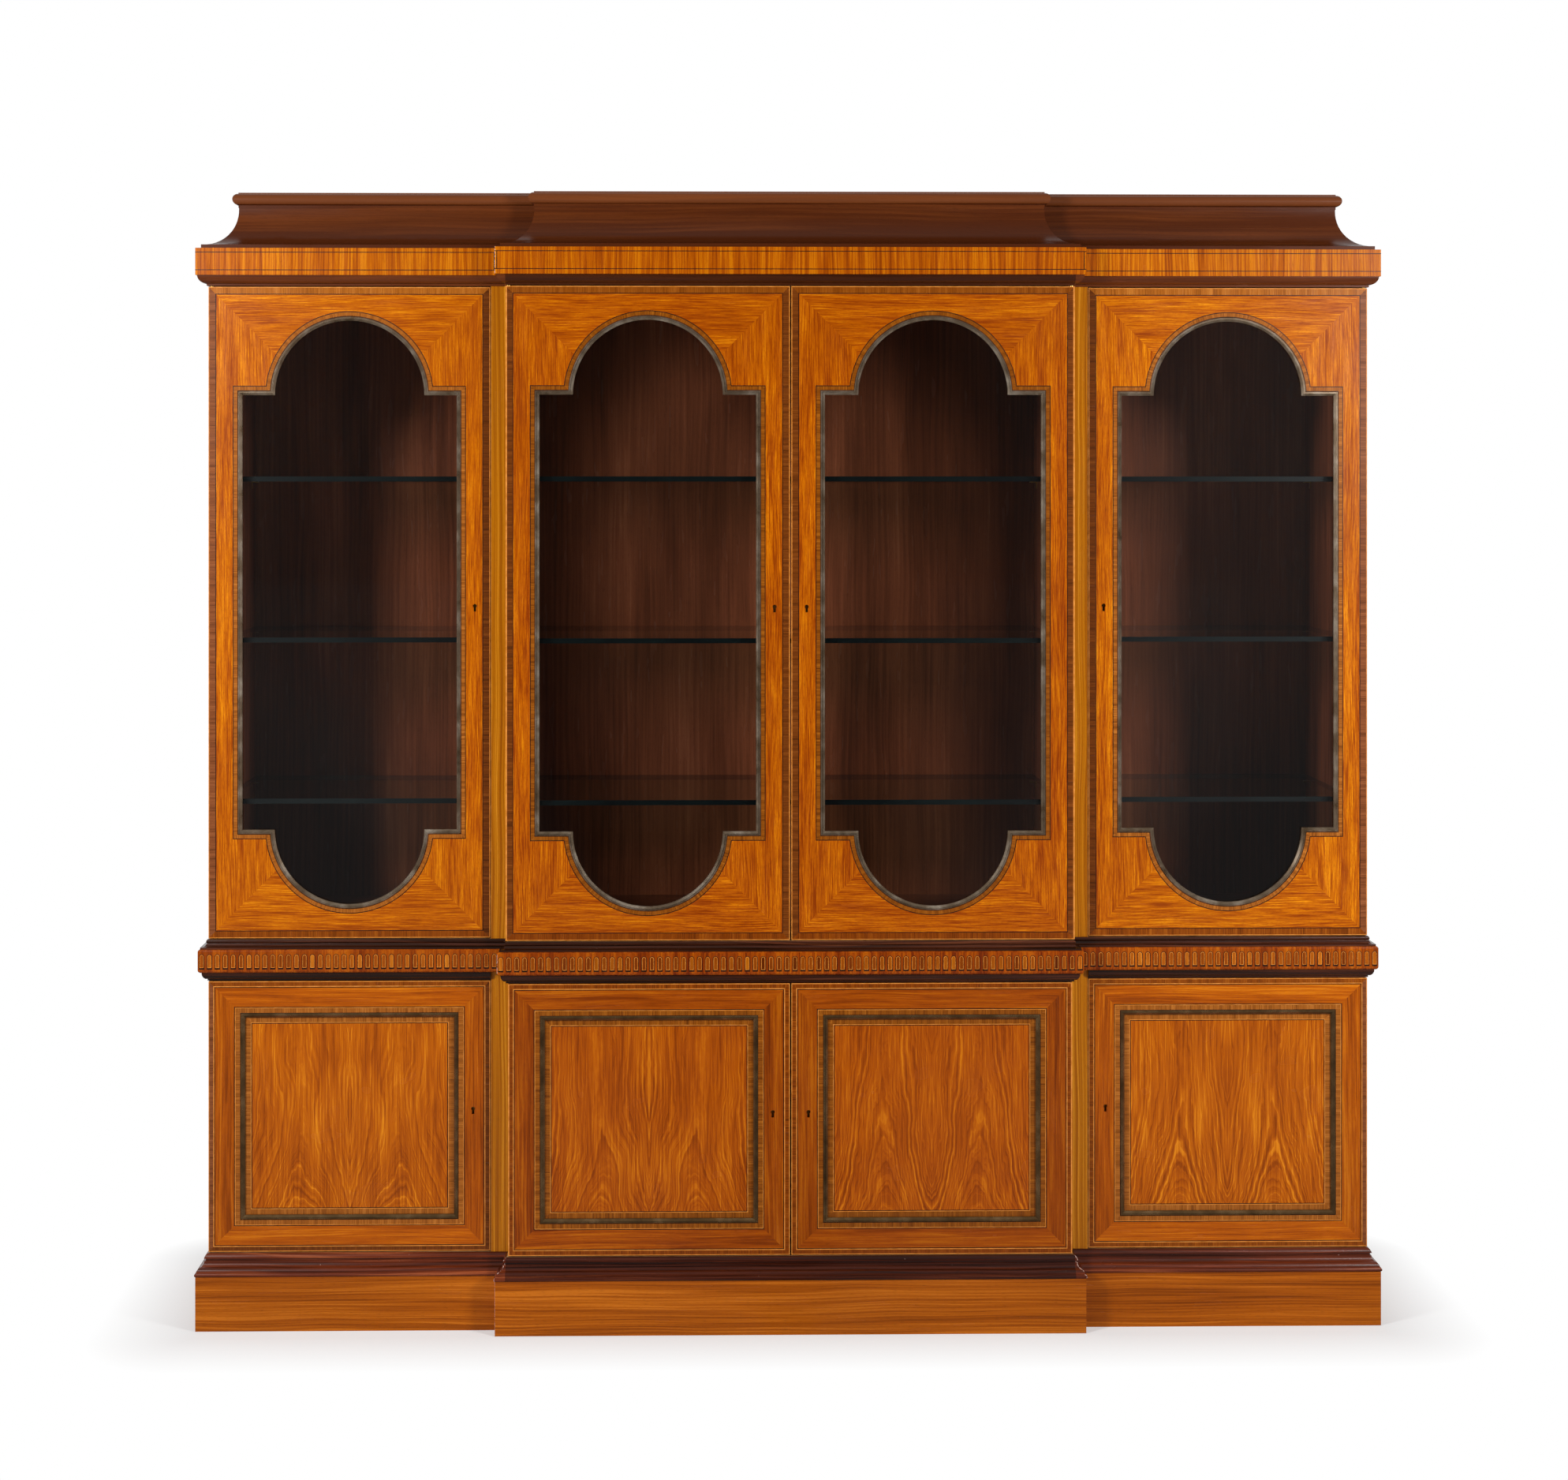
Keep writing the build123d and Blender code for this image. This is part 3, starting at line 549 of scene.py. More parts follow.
def mould_wear(t, base):
    """Small pale knocks on the break's mitres, and specks along the mouldings."""
    x, y, _ = t.split(t.place())
    dx = t.minus(t.size(x), CENTRE_HALF)
    mitre = t.size(t.plus(dx, t.minus(y, CENTRE_FACE)))
    near = t.math("LESS_THAN", t.size(dx), KNOCK_REACH)
    chips = t.span(t.marks(KNOCKS, *CHIP_NOISE), *KNOCK_SPAN, 0.0, KNOCK_WIDTH)
    line = t.times(t.math("LESS_THAN", mitre, chips), near)
    dots = t.math("GREATER_THAN", t.marks(MOULD_SPECKS), SPECK_LEVEL)
    return t.mix(t.times(t.larger(line, dots), KNOCK_STRENGTH), base, srgb(*SCUFF))


def torus_highlight(t, base):
    """Painted highlight: the round at the top of the cornice is lightened, for the broad highlight of the
    polish on it.
    """
    top = high("cornice_moulding").z - TORUS_HEIGHT
    above = t.math("GREATER_THAN", t.split(t.place())[2], top)
    return t.mix(t.times(above, TORUS_HIGHLIGHT), base, srgb(*TORUS_HIGHLIGHT_TONE))


def flame_wood(name):
    """Two mirrored leaves of veneer, with nested arches in the middle of each and a V where they meet."""
    t = new_material(name)
    u, v, _ = t.split(t.new("ShaderNodeUVMap", uv_map="grain").outputs[0])
    door = t.times(t.math("FLOOR", t.math("DIVIDE", t.split(t.place())[0], DOOR_PITCH)), DOOR_SEED)
    leaf = t.size(v)

    def on_leaf(along, across, *noise):
        return t.noise(t.join(t.times(u, along), t.times(leaf, across), door), *noise)

    sway = t.about_zero(on_leaf(*FLAME_SWAY[:2], 1.0), FLAME_SWAY[2])
    moved = t.minus(t.plus(leaf, sway), LEAF_MIDDLE)
    square = t.plus(t.times(moved, moved), ARCH_SOFTNESS ** 2)
    bowl = t.times(t.minus(t.math("SQRT", square), ARCH_SOFTNESS), ARCH_SLOPE)
    fade = t.minus(1.0, t.math("POWER", EULER, t.math("DIVIDE", u, -FLAME_FADE)))
    jitter = t.times(on_leaf(*FLAME_JITTER[:2]), FLAME_JITTER[2])
    height = t.plus(t.plus(bowl, t.times(fade, FLAME_FADE)), jitter)
    rings = t.noise_1d(t.plus(t.times(height, FLAME_RINGS), door), *RING_NOISE)
    fine = on_leaf(*FLAME_FINE[:2], *SPECK_NOISE)
    cloud = on_leaf(*FLAME_CLOUD[:2])
    strength = t.span(u, 0.0, FLAME_REACH, *FLAME_STRENGTH)
    value = t.plus(t.about_zero(rings, strength), t.about_zero(fine, FLAME_FINE[2]))
    value = t.plus(t.plus(value, 0.5), t.about_zero(cloud, FLAME_CLOUD[2]))
    # The centre's panels are darkened: painted shade
    colour = shaded_centre(t, t.ramp(value, FLAME_PLACES, SATIN_PANEL), CENTRE_SHADE_UPPER)
    rough = t.span(t.marks(FLAME_POLISH), *MIDDLE_SPAN, *POLISHED)
    t.principled({"Base Color": colour, "Roughness": rough, "Specular IOR Level": SHINE,
                  "Normal": t.bump(fine, FINE_RELIEF)})


def brass(name, tones, roughness=(0.28, 0.46), metallic=1.0):
    """Old brass with brown patches."""
    t = new_material(name)
    patches = t.marks(BRASS_PATCHES, *BRASS_NOISE)
    rough = t.span(patches, *MIDDLE_SPAN, roughness[1], roughness[0])
    t.principled({"Base Color": t.ramp(patches, BRASS_PLACES, tones), "Metallic": metallic,
                  "Roughness": rough, "Normal": t.bump(t.marks(BRASS_MARKS), BRASS_RELIEF)})


def clear_glass(t, tint, roughness):
    """Glass that mirrors what Fresnel gives where a ray enters it. The rest passes straight on."""
    share = t.new("ShaderNodeFresnel", {"IOR": GLASS_IOR}).outputs[0]
    leaving = t.new("ShaderNodeNewGeometry").outputs["Backfacing"]
    gloss = t.shader("BsdfGlossy", {"Color": WHITE, "Roughness": roughness})
    clear = t.shader("BsdfTransparent", {"Color": srgb(*tint)})
    return t.between(t.times(share, t.minus(1.0, leaving)), clear, gloss)


def pane_glass(name, tint):
    """Thin clear glass."""
    t = new_material(name)
    rough = t.span(t.marks(PANE_MARKS), *MIDDLE_SPAN, *PANE_ROUGHNESS)
    t.finish(clear_glass(t, tint, rough))


def shelf_glass(name, tint, edge):
    """Plate glass: clear through its broad faces, and nearly black green where it is seen into an edge."""
    t = new_material(name)
    normal = t.new("ShaderNodeNewGeometry").outputs["Normal"]
    flat = t.math("GREATER_THAN", t.size(t.split(normal)[2]), 0.5)
    green = t.ramp(t.marks(SHELF_MARKS, 3.0), LINE_SPREAD, edge)
    side = t.shader("BsdfPrincipled", {"Base Color": green, "Roughness": SHELF_EDGE_ROUGHNESS})
    t.finish(t.between(flat, side, clear_glass(t, tint, SHELF_ROUGHNESS)))


def two_faced(name, outside, inside, edge):
    """Veneered wood outside the case ends and dark timber inside, told apart by place."""
    t = new_material(name)
    x, y, z = t.split(t.place())
    space = t.join(z, x, y)
    colours, grains = [], []
    for tones, (streak, broad) in zip((outside, inside), CASE_WOODS):
        fine = t.grain(space, streak, *FINE_NOISE)
        wide = t.grain(space, broad, *BROAD_NOISE)
        value = t.plus(t.times(fine, 0.5), t.times(wide, 0.5))
        colours.append(t.ramp(value, CASE_PLACES, tones))
        grains.append(fine)
    colour = t.mix(t.math("GREATER_THAN", t.size(x), edge), colours[1], colours[0])
    t.principled({"Base Color": colour, "Roughness": t.span(grains[0], *MIDDLE_SPAN, *CASE_ROUGHNESS),
                  "Specular IOR Level": SHINE, "Normal": t.bump(grains[0], FINE_RELIEF)})


# A darker centre in these woods is painted shade.
wood("satin_upper", "uv", SATIN_UPPER, (15, 430), (3, 46), figure=(22, 120, 0.05), weights=(0.62, 0.34),
     speck=(110, 520, 0.4), deep=CENTRE_SHADE_UPPER)
for name, tones in (("satin_lower", SATIN_LOWER), ("satin_lower_stile", SATIN_LOWER_STILE)):
    wood(name, "uv", tones, (6, 300), (1.6, 44), figure=(10, 60, 0.14), deep=CENTRE_SHADE_LOWER)
flame_wood("satin_panel")
for name, tones, across, weights, deep in (
        ("crossband", CROSSBAND, 120, (0.55, 0.45), None),
        ("crossband_outer", CROSSBAND_OUTER, 120, (0.55, 0.45), None),
        # The centre's top rails carry painted shadow under the cornice
        ("crossband_top", CROSSBAND_TOP, 60, (0.6, 0.4), CENTRE_SHADE_TOP),
        ("crossband_low", CROSSBAND_LOW, 90, (0.6, 0.4), CENTRE_SHADE_UPPER),
        ("crossband_light", CROSSBAND_LIGHT, 120, (0.6, 0.4), CENTRE_SHADE_LOWER)):
    wood(name, "uv", tones, (10, 620), (4, across), weights=weights, deep=deep)
# The pale stringing also paints the highlight on the fixed stiles, and the ebony the shadow round the beads
line_wood("pale_line_and_highlight", PALE_LINE_AND_HIGHLIGHT)
line_wood("ebony_line_and_shadow", EBONY_AND_SHADOW, roughness=0.34)
line_wood("flute_line", FLUTE_DARK_TONES)
line_wood("flute_pale", FLUTE_PALE_TONES)
wood("satin_flute", "uv", SATIN_FLUTE, (8, 600), (1.2, 5), pores=0.3, weights=(0.35, 0.65), deep=CENTRE_SHADE_LOWER)
wood("satin_edge", "upright", SATIN_LOWER, (6, 330), (1.6, 44))
wood("satin_frieze", "upright", SATIN_FRIEZE, (5, 330), (2, 60), weights=(0.66, 0.38),
     worn=worn_corner(FRIEZE_OUT, 1.4 * MM), deep=CENTRE_SHADE_UPPER)
wood("satin_plinth", "level", SATIN_PLINTH, (2.4, 300), (0.9, 40), weights=(0.6, 0.42),
     worn=worn_corner(PLINTH_OUT, 1.0 * MM, 0.5))
wood("satin_band", "upright", SATIN_BAND, (6, 300), (2, 60), worn=worn_corner(BAND_OUT, 1.2 * MM),
     deep=CENTRE_SHADE_UPPER)
wood("satin_stile", "upright", SATIN_STILE, (2, 300), (0.6, 150), pores=0.3, weights=(0.4, 0.6))
# The base moulding's darker centre is painted shade
for name, tones, worn, deep in (("mahogany", MAHOGANY, mould_wear, CENTRE_SHADE_MOULDING),
                                ("mahogany_dark", MAHOGANY_DARK, None, None)):
    wood(name, "level", tones, (3, 260), (0.8, 34), shine=0.35, coat=0.12, worn=worn, deep=deep)
# The cornice underside's darker centre is painted shade, and the cornice's paler round a painted highlight
for name, worn, deep in (("cornice_under", None, CENTRE_SHADE_MOULDING), ("cornice", torus_highlight, None)):
    wood(name, "level", CORNICE, (2.4, 150), (0.6, 12), weights=(0.34, 0.5), coat=0.1, worn=worn, deep=deep)
for way in ("upright", "level"):
    wood(f"inside_{way}", way, INSIDE, (2.6, 150), (1.4, 9), weights=(0.4, 0.6), spread=(0.3, 0.72))
wood("timber", "level", CARCASE_TIMBER, (4, 220), (0.8, 24), pores=0.5, roughness=(0.6, 0.75))
two_faced("case_ends", SATIN_LOWER, INSIDE, CASE_END)
brass("bead_upper", BEAD_UPPER, roughness=(0.2, 0.28), metallic=0.85)
brass("bead_lower", BEAD_LOWER, roughness=(0.24, 0.34), metallic=0.8)
brass("brass", BRASS)
pane_glass("door_glass", PANE_TINT)
shelf_glass("shelf_glass", SHELF_TINT, SHELF_EDGE)


def dress(node, material):
    """Gives a kept CAD node its material."""
    mesh = frame["nodes"][node].data
    if not mesh.materials:
        mesh.materials.append(M[material])
    for i in range(len(mesh.materials)):
        mesh.materials[i] = M[material]


# Outlines on an upright face. A box is x0, x1, z0, z1.

def rectangle(x0, x1, z0, z1):
    return [(x0, z0), (x1, z0), (x1, z1), (x0, z1)]


def inset(box, by):
    """The box's outline, moved inwards."""
    return rectangle(box[0] + by, box[1] - by, box[2] + by, box[3] - by)


def keyhole_outline(x, z):
    """Round head over a slot."""
    head = z + KEYHOLE_HEIGHT / 2 - KEYHOLE_RADIUS
    half = KEYHOLE_SLOT / 2
    start = math.asin(half / KEYHOLE_RADIUS) - math.pi / 2
    turn = 2 * math.pi - 2 * math.asin(half / KEYHOLE_RADIUS)
    points = [(x - half, z - KEYHOLE_HEIGHT / 2), (x + half, z - KEYHOLE_HEIGHT / 2)]
    for i in range(KEYHOLE_STEPS + 1):
        angle = start + turn * i / KEYHOLE_STEPS
        points.append((x + KEYHOLE_RADIUS * math.cos(angle), head + KEYHOLE_RADIUS * math.sin(angle)))
    return points


def in_keyhole(x, z, key):
    """Whether a point lies in the keyhole's head or slot."""
    head = key[1] + KEYHOLE_HEIGHT / 2 - KEYHOLE_RADIUS
    if math.hypot(x - key[0], z - head) < KEYHOLE_RADIUS:
        return True
    return abs(x - key[0]) < KEYHOLE_SLOT / 2 and key[1] - KEYHOLE_HEIGHT / 2 < z < head


def arch_centres(box):
    """Heights of the centres of a glazed door's half circles."""
    return box[2] + GLASS_MARGIN + ARCH_RADIUS, box[3] - GLASS_MARGIN - ARCH_RADIUS


def arched_outline(box, grow):
    """The shaped opening of a glazed door, grown outwards."""
    mid = (box[0] + box[1]) / 2
    side = (box[1] - box[0]) / 2 - GLASS_MARGIN + grow
    radius = ARCH_RADIUS + grow
    start = math.asin(grow / radius)
    turn = math.pi - 2 * start
    points = []
    for centre, way in zip(arch_centres(box), (-1, 1)):
        shoulder = centre + way * grow
        points.append((mid + way * side, shoulder))
        for i in range(ARC_STEPS + 1):
            angle = start + turn * i / ARC_STEPS
            points.append((mid + way * radius * math.cos(angle), centre + way * radius * math.sin(angle)))
        points.append((mid - way * side, shoulder))
    return points


def nearest_arch(z, box):
    """The centre of the half circle at the nearer end of a glazed door."""
    low_arch, high_arch = arch_centres(box)
    return low_arch if z - box[2] < box[3] - z else high_arch


def arched_offset(x, z, box):
    """How far the shaped opening has to grow to reach a point."""
    x0, x1, z0, z1 = box
    beside = min(x - x0, x1 - x)
    above = min(z - z0, z1 - z)
    straight = max(GLASS_MARGIN - beside, GLASS_MARGIN + ARCH_RADIUS - above)
    return min(straight, math.hypot(x - (x0 + x1) / 2, z - nearest_arch(z, box)) - ARCH_RADIUS)


def which_side(x, z, box):
    """The nearest outer edge: 0 left, 1 right, 2 bottom, 3 top, and how far it is."""
    x0, x1, z0, z1 = box
    far = (x - x0, x1 - x, z - z0, z1 - z)
    nearest = min(range(4), key=lambda i: far[i])
    return nearest, far[nearest]


def within(x, z, box):
    """Whether a point lies inside a box."""
    return box[0] < x < box[1] and box[2] < z < box[3]


def diagonals(box, reach):
    """Short lines in from the corners, along which the pieces are mitred."""
    x0, x1, z0, z1 = box
    return [[(x, z), (x + wx * reach, z + wz * reach)]
            for x, wx in ((x0, 1), (x1, -1)) for z, wz in ((z0, 1), (z1, -1))]


# Grain: a function that gives the place in the timber, along and across it, for a point of the face

def upright_grain(shift=(0, 0)):
    return lambda x, z: (z + shift[0], x + shift[1])


def level_grain(shift=(0, 0)):
    return lambda x, z: (x + shift[0], z + shift[1])


def round_grain(mid, centre, shift):
    """Grain that runs out from the centre of an arch."""
    def place(x, z):
        far = math.hypot(x - mid, z - centre)
        return (far + shift[0], math.atan2(z - centre, x - mid) * ARCH_RADIUS + shift[1])
    return place


def along_and_across(side):
    """The two ways of the grain for a strip at that side of a door."""
    return (upright_grain, level_grain) if side < 2 else (level_grain, upright_grain)


def link(name, mesh, body, materials):
    """A new piece that rides on a body."""
    for material in materials:
        mesh.materials.append(M[material])
    piece = bpy.data.objects.new(name, mesh)
    bpy.context.scene.collection.objects.link(piece)
    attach(piece, body)


def veneer(name, outlines, sort, y, body, materials, drop=VENEER):
    """A thin sheet on an upright face, cut along outlines.

    sort gives the material and grain of the facet at a point, or None where there is no sheet.
    """
    points, edges = [], []
    for outline in outlines:
        first, count = len(points), len(outline)
        points += [Vector(p) for p in outline]
        edges += [(first + i, first + (i + 1) % count) for i in range(count)]
    verts, _, faces, *_ = delaunay_2d_cdt(points, edges, [], WHOLE_HULL, CUT_TOLERANCE)
    bm = bmesh.new()
    made = [bm.verts.new((v.x, y - drop, v.y)) for v in verts]
    layer = bm.loops.layers.uv.new("grain")
    for face in faces:
        found = sort(sum(verts[i].x for i in face) / len(face), sum(verts[i].y for i in face) / len(face))
        if not found:
            continue
        material, grain = found
        facet = bm.faces.new([made[i] for i in face])
        facet.material_index = materials.index(material)
        for corner in facet.loops:
            corner[layer].uv = grain(corner.vert.co.x, corner.vert.co.z)
    for v in [v for v in bm.verts if not v.link_faces]:
        bm.verts.remove(v)
    rim = [e for e in bm.edges if len(e.link_faces) == 1]
    for part in bmesh.ops.extrude_edge_only(bm, edges=rim)["geom"]:
        if isinstance(part, bmesh.types.BMVert):
            part.co.y += drop
    bm.normal_update()
    mesh = bpy.data.meshes.new(name)
    bm.to_mesh(mesh)
    bm.free()
    link(name, mesh, body, materials)


# Veneer of the doors

DOOR_NAMES = [f"{level}_{side}_{bay}" for level in ("upper", "lower")
              for side in ("left", "right") for bay in ("wing", "centre")]
KEYS = {}
for opening in frame["record"]["physics"]["openings"]:
    if opening["name"].endswith("_keyhole"):
        a, b = opening["box_m"]
        KEYS[opening["name"][:-len("_keyhole")]] = ((a[0] + b[0]) / 2, (a[2] + b[2]) / 2)

chance = random.Random(RANDOM_SEED)


def shifts(count):
    """Random places in the timber for that many pieces."""
    return [(chance.uniform(0, LONGEST_SHIFT), chance.uniform(0, LONGEST_SHIFT)) for _ in range(count)]


def door_face(name):
    """The outline of a door's face and how far forward it stands."""
    lo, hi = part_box(f"{name}_door_frame")
    return (lo.x, hi.x, lo.z, hi.z), lo.y


def within_edge_line(name, box, usual, outer):
    """The face within its pale edge line, which is wider at the outer edge of the centre doors."""
    left = outer if name.endswith("_left_centre") else usual
    right = outer if name.endswith("_right_centre") else usual
    return box[0] + left, box[1] - right, box[2] + usual, box[3] - usual


def outer_side(name):
    """The side of a wing door that is an outer edge of the whole piece: 0 left, 1 right, or None."""
    return {"left_wing": 0, "right_wing": 1}.get(name.split("_", 1)[1])


def glazed_veneer(name):
    """Crossbands, lines, mitred veneer and a painted shadow round the bead on the face of a glazed door."""
    box, face = door_face(name)
    key = KEYS[name]
    edge = within_edge_line(name, box, UPPER_EDGE_LINE, UPPER_OUTER_LINE)
    outer_edge = UPPER_BAND + UPPER_LINE
    bead_shadow = BEAD_WIDTH + BEAD_SHADOW
    band_edge = BEAD_WIDTH + UPPER_INNER_BAND
    line_edge = band_edge + UPPER_INNER_LINE
    outlines = [rectangle(*box), rectangle(*edge), inset(box, UPPER_BAND), inset(box, outer_edge)]
    outlines += [arched_outline(box, out) for out in (BEAD_WIDTH, bead_shadow, band_edge, line_edge)]
    outlines += [keyhole_outline(*key), *diagonals(box, GLASS_MARGIN + ARCH_RADIUS)]
    field, bands, inner = shifts(4), shifts(4), shifts(3)
    mid = (box[0] + box[1]) / 2
    outer = outer_side(name)
    band_of = ["crossband_outer" if side == outer else "crossband" for side in (0, 1)]
    band_of += ["crossband_low", "crossband_top"]

    def inner_grain(x, z, out):
        centre = nearest_arch(z, box)
        if abs(math.hypot(x - mid, z - centre) - ARCH_RADIUS - out) < TOUCH:
            return round_grain(mid, centre, inner[0])
        if abs(GLASS_MARGIN - min(x - box[0], box[1] - x) - out) < TOUCH:
            return level_grain(inner[1])
        return upright_grain(inner[2])

    def sort(x, z):
        side, far = which_side(x, z, box)
        out = arched_offset(x, z, box)
        along, across = along_and_across(side)
        if out < BEAD_WIDTH or in_keyhole(x, z, key):
            return None
        if not within(x, z, edge):
            return "pale_line_and_highlight", along()
        if far < UPPER_BAND:
            return band_of[side], across(bands[side])
        # Ebony line, and a painted shadow just outside the bead
        if far < outer_edge or out < bead_shadow:
            return "ebony_line_and_shadow", along()
        if out < band_edge:
            return "crossband_light", inner_grain(x, z, out)
        if out < line_edge:
            return "ebony_line_and_shadow", along()
        return "satin_upper", along(field[side])

    materials = ("satin_upper", "crossband", "pale_line_and_highlight", "ebony_line_and_shadow", "crossband_light",
                 "crossband_outer", "crossband_top", "crossband_low")
    veneer(f"{name}_veneer", outlines, sort, face, f"{name}_door", materials)


def panelled_veneer(name):
    """Lines, mitred veneer and painted bead shadow on a panelled door, and the figured panel inside its
    moulding.
    """
    box, face = door_face(name)
    key = KEYS[name]
    edge = within_edge_line(name, box, LOWER_EDGE_LINE, LOWER_OUTER_LINE)
    pale = LOWER_BAND + LOWER_PALE_LINE
    dark = pale + LOWER_DARK_LINE
    bead_edge = PANEL_MARGIN - BEAD_WIDTH
    bead_shadow = bead_edge - BEAD_SHADOW
    inner_band = bead_edge - LOWER_INNER_BAND
    inner_pale = inner_band - LOWER_INNER_PALE
    inner_dark = inner_pale - LOWER_INNER_DARK
    outlines = [rectangle(*box), rectangle(*edge)]
    outlines += [inset(box, by) for by in (LOWER_BAND, pale, dark, inner_dark, inner_pale, inner_band,
                                           bead_shadow, bead_edge)]
    outlines += [keyhole_outline(*key), *diagonals(box, PANEL_MARGIN)]
    field, bands, inner = shifts(4), shifts(4), shifts(4)
    outer = outer_side(name)
    band_of = ["crossband_outer" if side == outer else "crossband_low" for side in range(4)]
    if name == "lower_left_wing":
        band_of[1] = band_of[2] = "crossband"

    def sort(x, z):
        side, far = which_side(x, z, box)
        along, across = along_and_across(side)
        if far > bead_edge or in_keyhole(x, z, key):
            return None
        if not within(x, z, edge):
            return "pale_line_and_highlight", along()
        if far < LOWER_BAND:
            return band_of[side], across(bands[side])
        if inner_band < far < bead_shadow:
            return "crossband_light", across(inner[side])
        if far < pale or inner_pale < far < inner_band:
            return "pale_line_and_highlight", along()
        # Ebony lines, and past the inner one a painted shadow next to the bead
        if far < dark or far > inner_dark:
            return "ebony_line_and_shadow", along()
        return ("satin_lower_stile" if side < 2 else "satin_lower"), along(field[side])

    materials = ("satin_lower", "crossband", "pale_line_and_highlight", "ebony_line_and_shadow", "crossband_light",
                 "crossband_outer", "crossband_low", "satin_lower_stile")
    veneer(f"{name}_veneer", outlines, sort, face, f"{name}_door", materials)

    band = PANEL_MARGIN + PANEL_BAND
    pale_in = band + PANEL_PALE
    dark_in = pale_in + PANEL_DARK
    rings = [inset(box, by) for by in (PANEL_MARGIN, band, pale_in, dark_in)] + diagonals(box, dark_in)
    mid = (box[0] + box[1]) / 2
    foot = box[2] + dark_in

    def sort_panel(x, z):
        side, far = which_side(x, z, box)
        along, across = along_and_across(side)
        if far < PANEL_MARGIN:
            return None
        if far < band:
            return "crossband_light", across(bands[side])
        if far < pale_in:
            return "pale_line_and_highlight", along()
        if far < dark_in:
            return "ebony_line_and_shadow", along()
        return "satin_panel", upright_grain((-foot, -mid))

    materials = ("satin_panel", "crossband_light", "pale_line_and_highlight", "ebony_line_and_shadow")
    panel_face = low(f"{name}_door_panel").y
    veneer(f"{name}_panel_veneer", rings, sort_panel, panel_face, f"{name}_door", materials)


for door in DOOR_NAMES:
    if door.startswith("upper"):
        glazed_veneer(door)
    else:
        panelled_veneer(door)


# Lines and flutes that follow the front

def ribbon(name, out, z0, z1, material):
    """A thin line let into the front, carried round every corner."""
    bm = bmesh.new()
    layer = bm.loops.layers.uv.new("grain")
    rows = [(bm.verts.new((x, y, z0)), bm.verts.new((x, y, z1))) for x, y in front_path(out + LINE_PROUD)]
    run = 0.0
    for (a, b), (c, d) in zip(rows, rows[1:]):
        length = (c.co - a.co).length
        face = bm.faces.new((a, c, d, b))
        for corner, u in zip(face.loops, (run, run + length, run + length, run)):
            corner[layer].uv = (u, corner.vert.co.z)
        run += length
    mesh = bpy.data.meshes.new(name)
    bm.to_mesh(mesh)
    bm.free()
    link(name, mesh, "carcase", (material,))


def upright_line(name, x0, x1, z0, z1, y, material, drop=VENEER):
    """A short straight strip on a face of the case: an ebony line on the frieze, a painted highlight on the
    stiles.
    """
    veneer(name, [rectangle(x0, x1, z0, z1)], lambda x, z: (material, upright_grain()), y, "carcase",
           (material,), drop)


def flute_rings():
    """Outline of a flute and the two outlines inside it, from its bottom left corner round."""
    rings = []
    for inward in (0.0, FLUTE_OUTLINE, FLUTE_OUTLINE + FLUTE_PALE):
        half = FLUTE_WIDTH / 2 - inward
        base = 0.0 if inward == 0 else FLUTE_BASE + (inward - FLUTE_OUTLINE)
        spring = FLUTE_TOP - FLUTE_BOTTOM - FLUTE_WIDTH / 2
        points = [(-half, base), (half, base)]
        for i in range(FLUTE_STEPS + 1):
            angle = math.pi * i / FLUTE_STEPS
            points.append((half * math.cos(angle), spring + half * math.sin(angle)))
        rings.append(points)
    return rings


def flutes():
    """Arch-headed inlays all along the waist band."""
    path = front_path(BAND_OUT + INLAY_PROUD)
    rings = flute_rings()
    size = len(rings[0])
    bm = bmesh.new()
    layer = bm.loops.layers.uv.new("grain")
    for (x0, y0), (x1, y1) in zip(path, path[1:]):
        length = math.hypot(x1 - x0, y1 - y0)
        way = ((x1 - x0) / length, (y1 - y0) / length)
        count = max(1, int(length / FLUTE_PITCH))
        pitch = length / count
        for i in range(count):
            middle = (i + 0.5) * pitch
            loops = [[bm.verts.new((x0 + way[0] * (middle + s), y0 + way[1] * (middle + s), FLUTE_BOTTOM + h))
                      for s, h in ring] for ring in rings]
            for material, (outer, inner) in enumerate(zip(loops, loops[1:])):
                for k in range(size):
                    after = (k + 1) % size
                    face = bm.faces.new((outer[k], outer[after], inner[after], inner[k]))
                    face.material_index = material
            face = bm.faces.new(loops[2])
            face.material_index = 2
            shift = chance.uniform(0, LONGEST_SHIFT)
            for corner in face.loops:
                co = corner.vert.co
                corner[layer].uv = (co.z + shift, co.x + co.y + shift)
    mesh = bpy.data.meshes.new("waist_flutes")
    bm.to_mesh(mesh)
    bm.free()
    link("waist_flutes", mesh, "carcase", ("flute_line", "flute_pale", "satin_flute"))


SIDES = ((-1, "left"), (1, "right"))
line_top = high("frieze").z - FRIEZE_LINE_TOP
line_bottom = low("frieze").z + FRIEZE_LINE_BOTTOM
ribbon("frieze_line_top", FRIEZE_OUT, line_top - FRIEZE_LINE, line_top, "ebony_line_and_shadow")
ribbon("frieze_line_bottom", FRIEZE_OUT, line_bottom, line_bottom + FRIEZE_LINE, "ebony_line_and_shadow")
for side, way in SIDES:
    for bay, face, shift in (("wing", WING_FACE, FRIEZE_LINE_END), ("centre", CENTRE_FACE, -FRIEZE_LINE_END)):
        at = side * (CENTRE_HALF + FRIEZE_OUT + shift)
        upright_line(f"frieze_{way}_{bay}_end_line", at - FRIEZE_LINE / 2, at + FRIEZE_LINE / 2, line_bottom,
                     line_top, face - FRIEZE_OUT, "ebony_line_and_shadow", LINE_PROUD)
flutes()

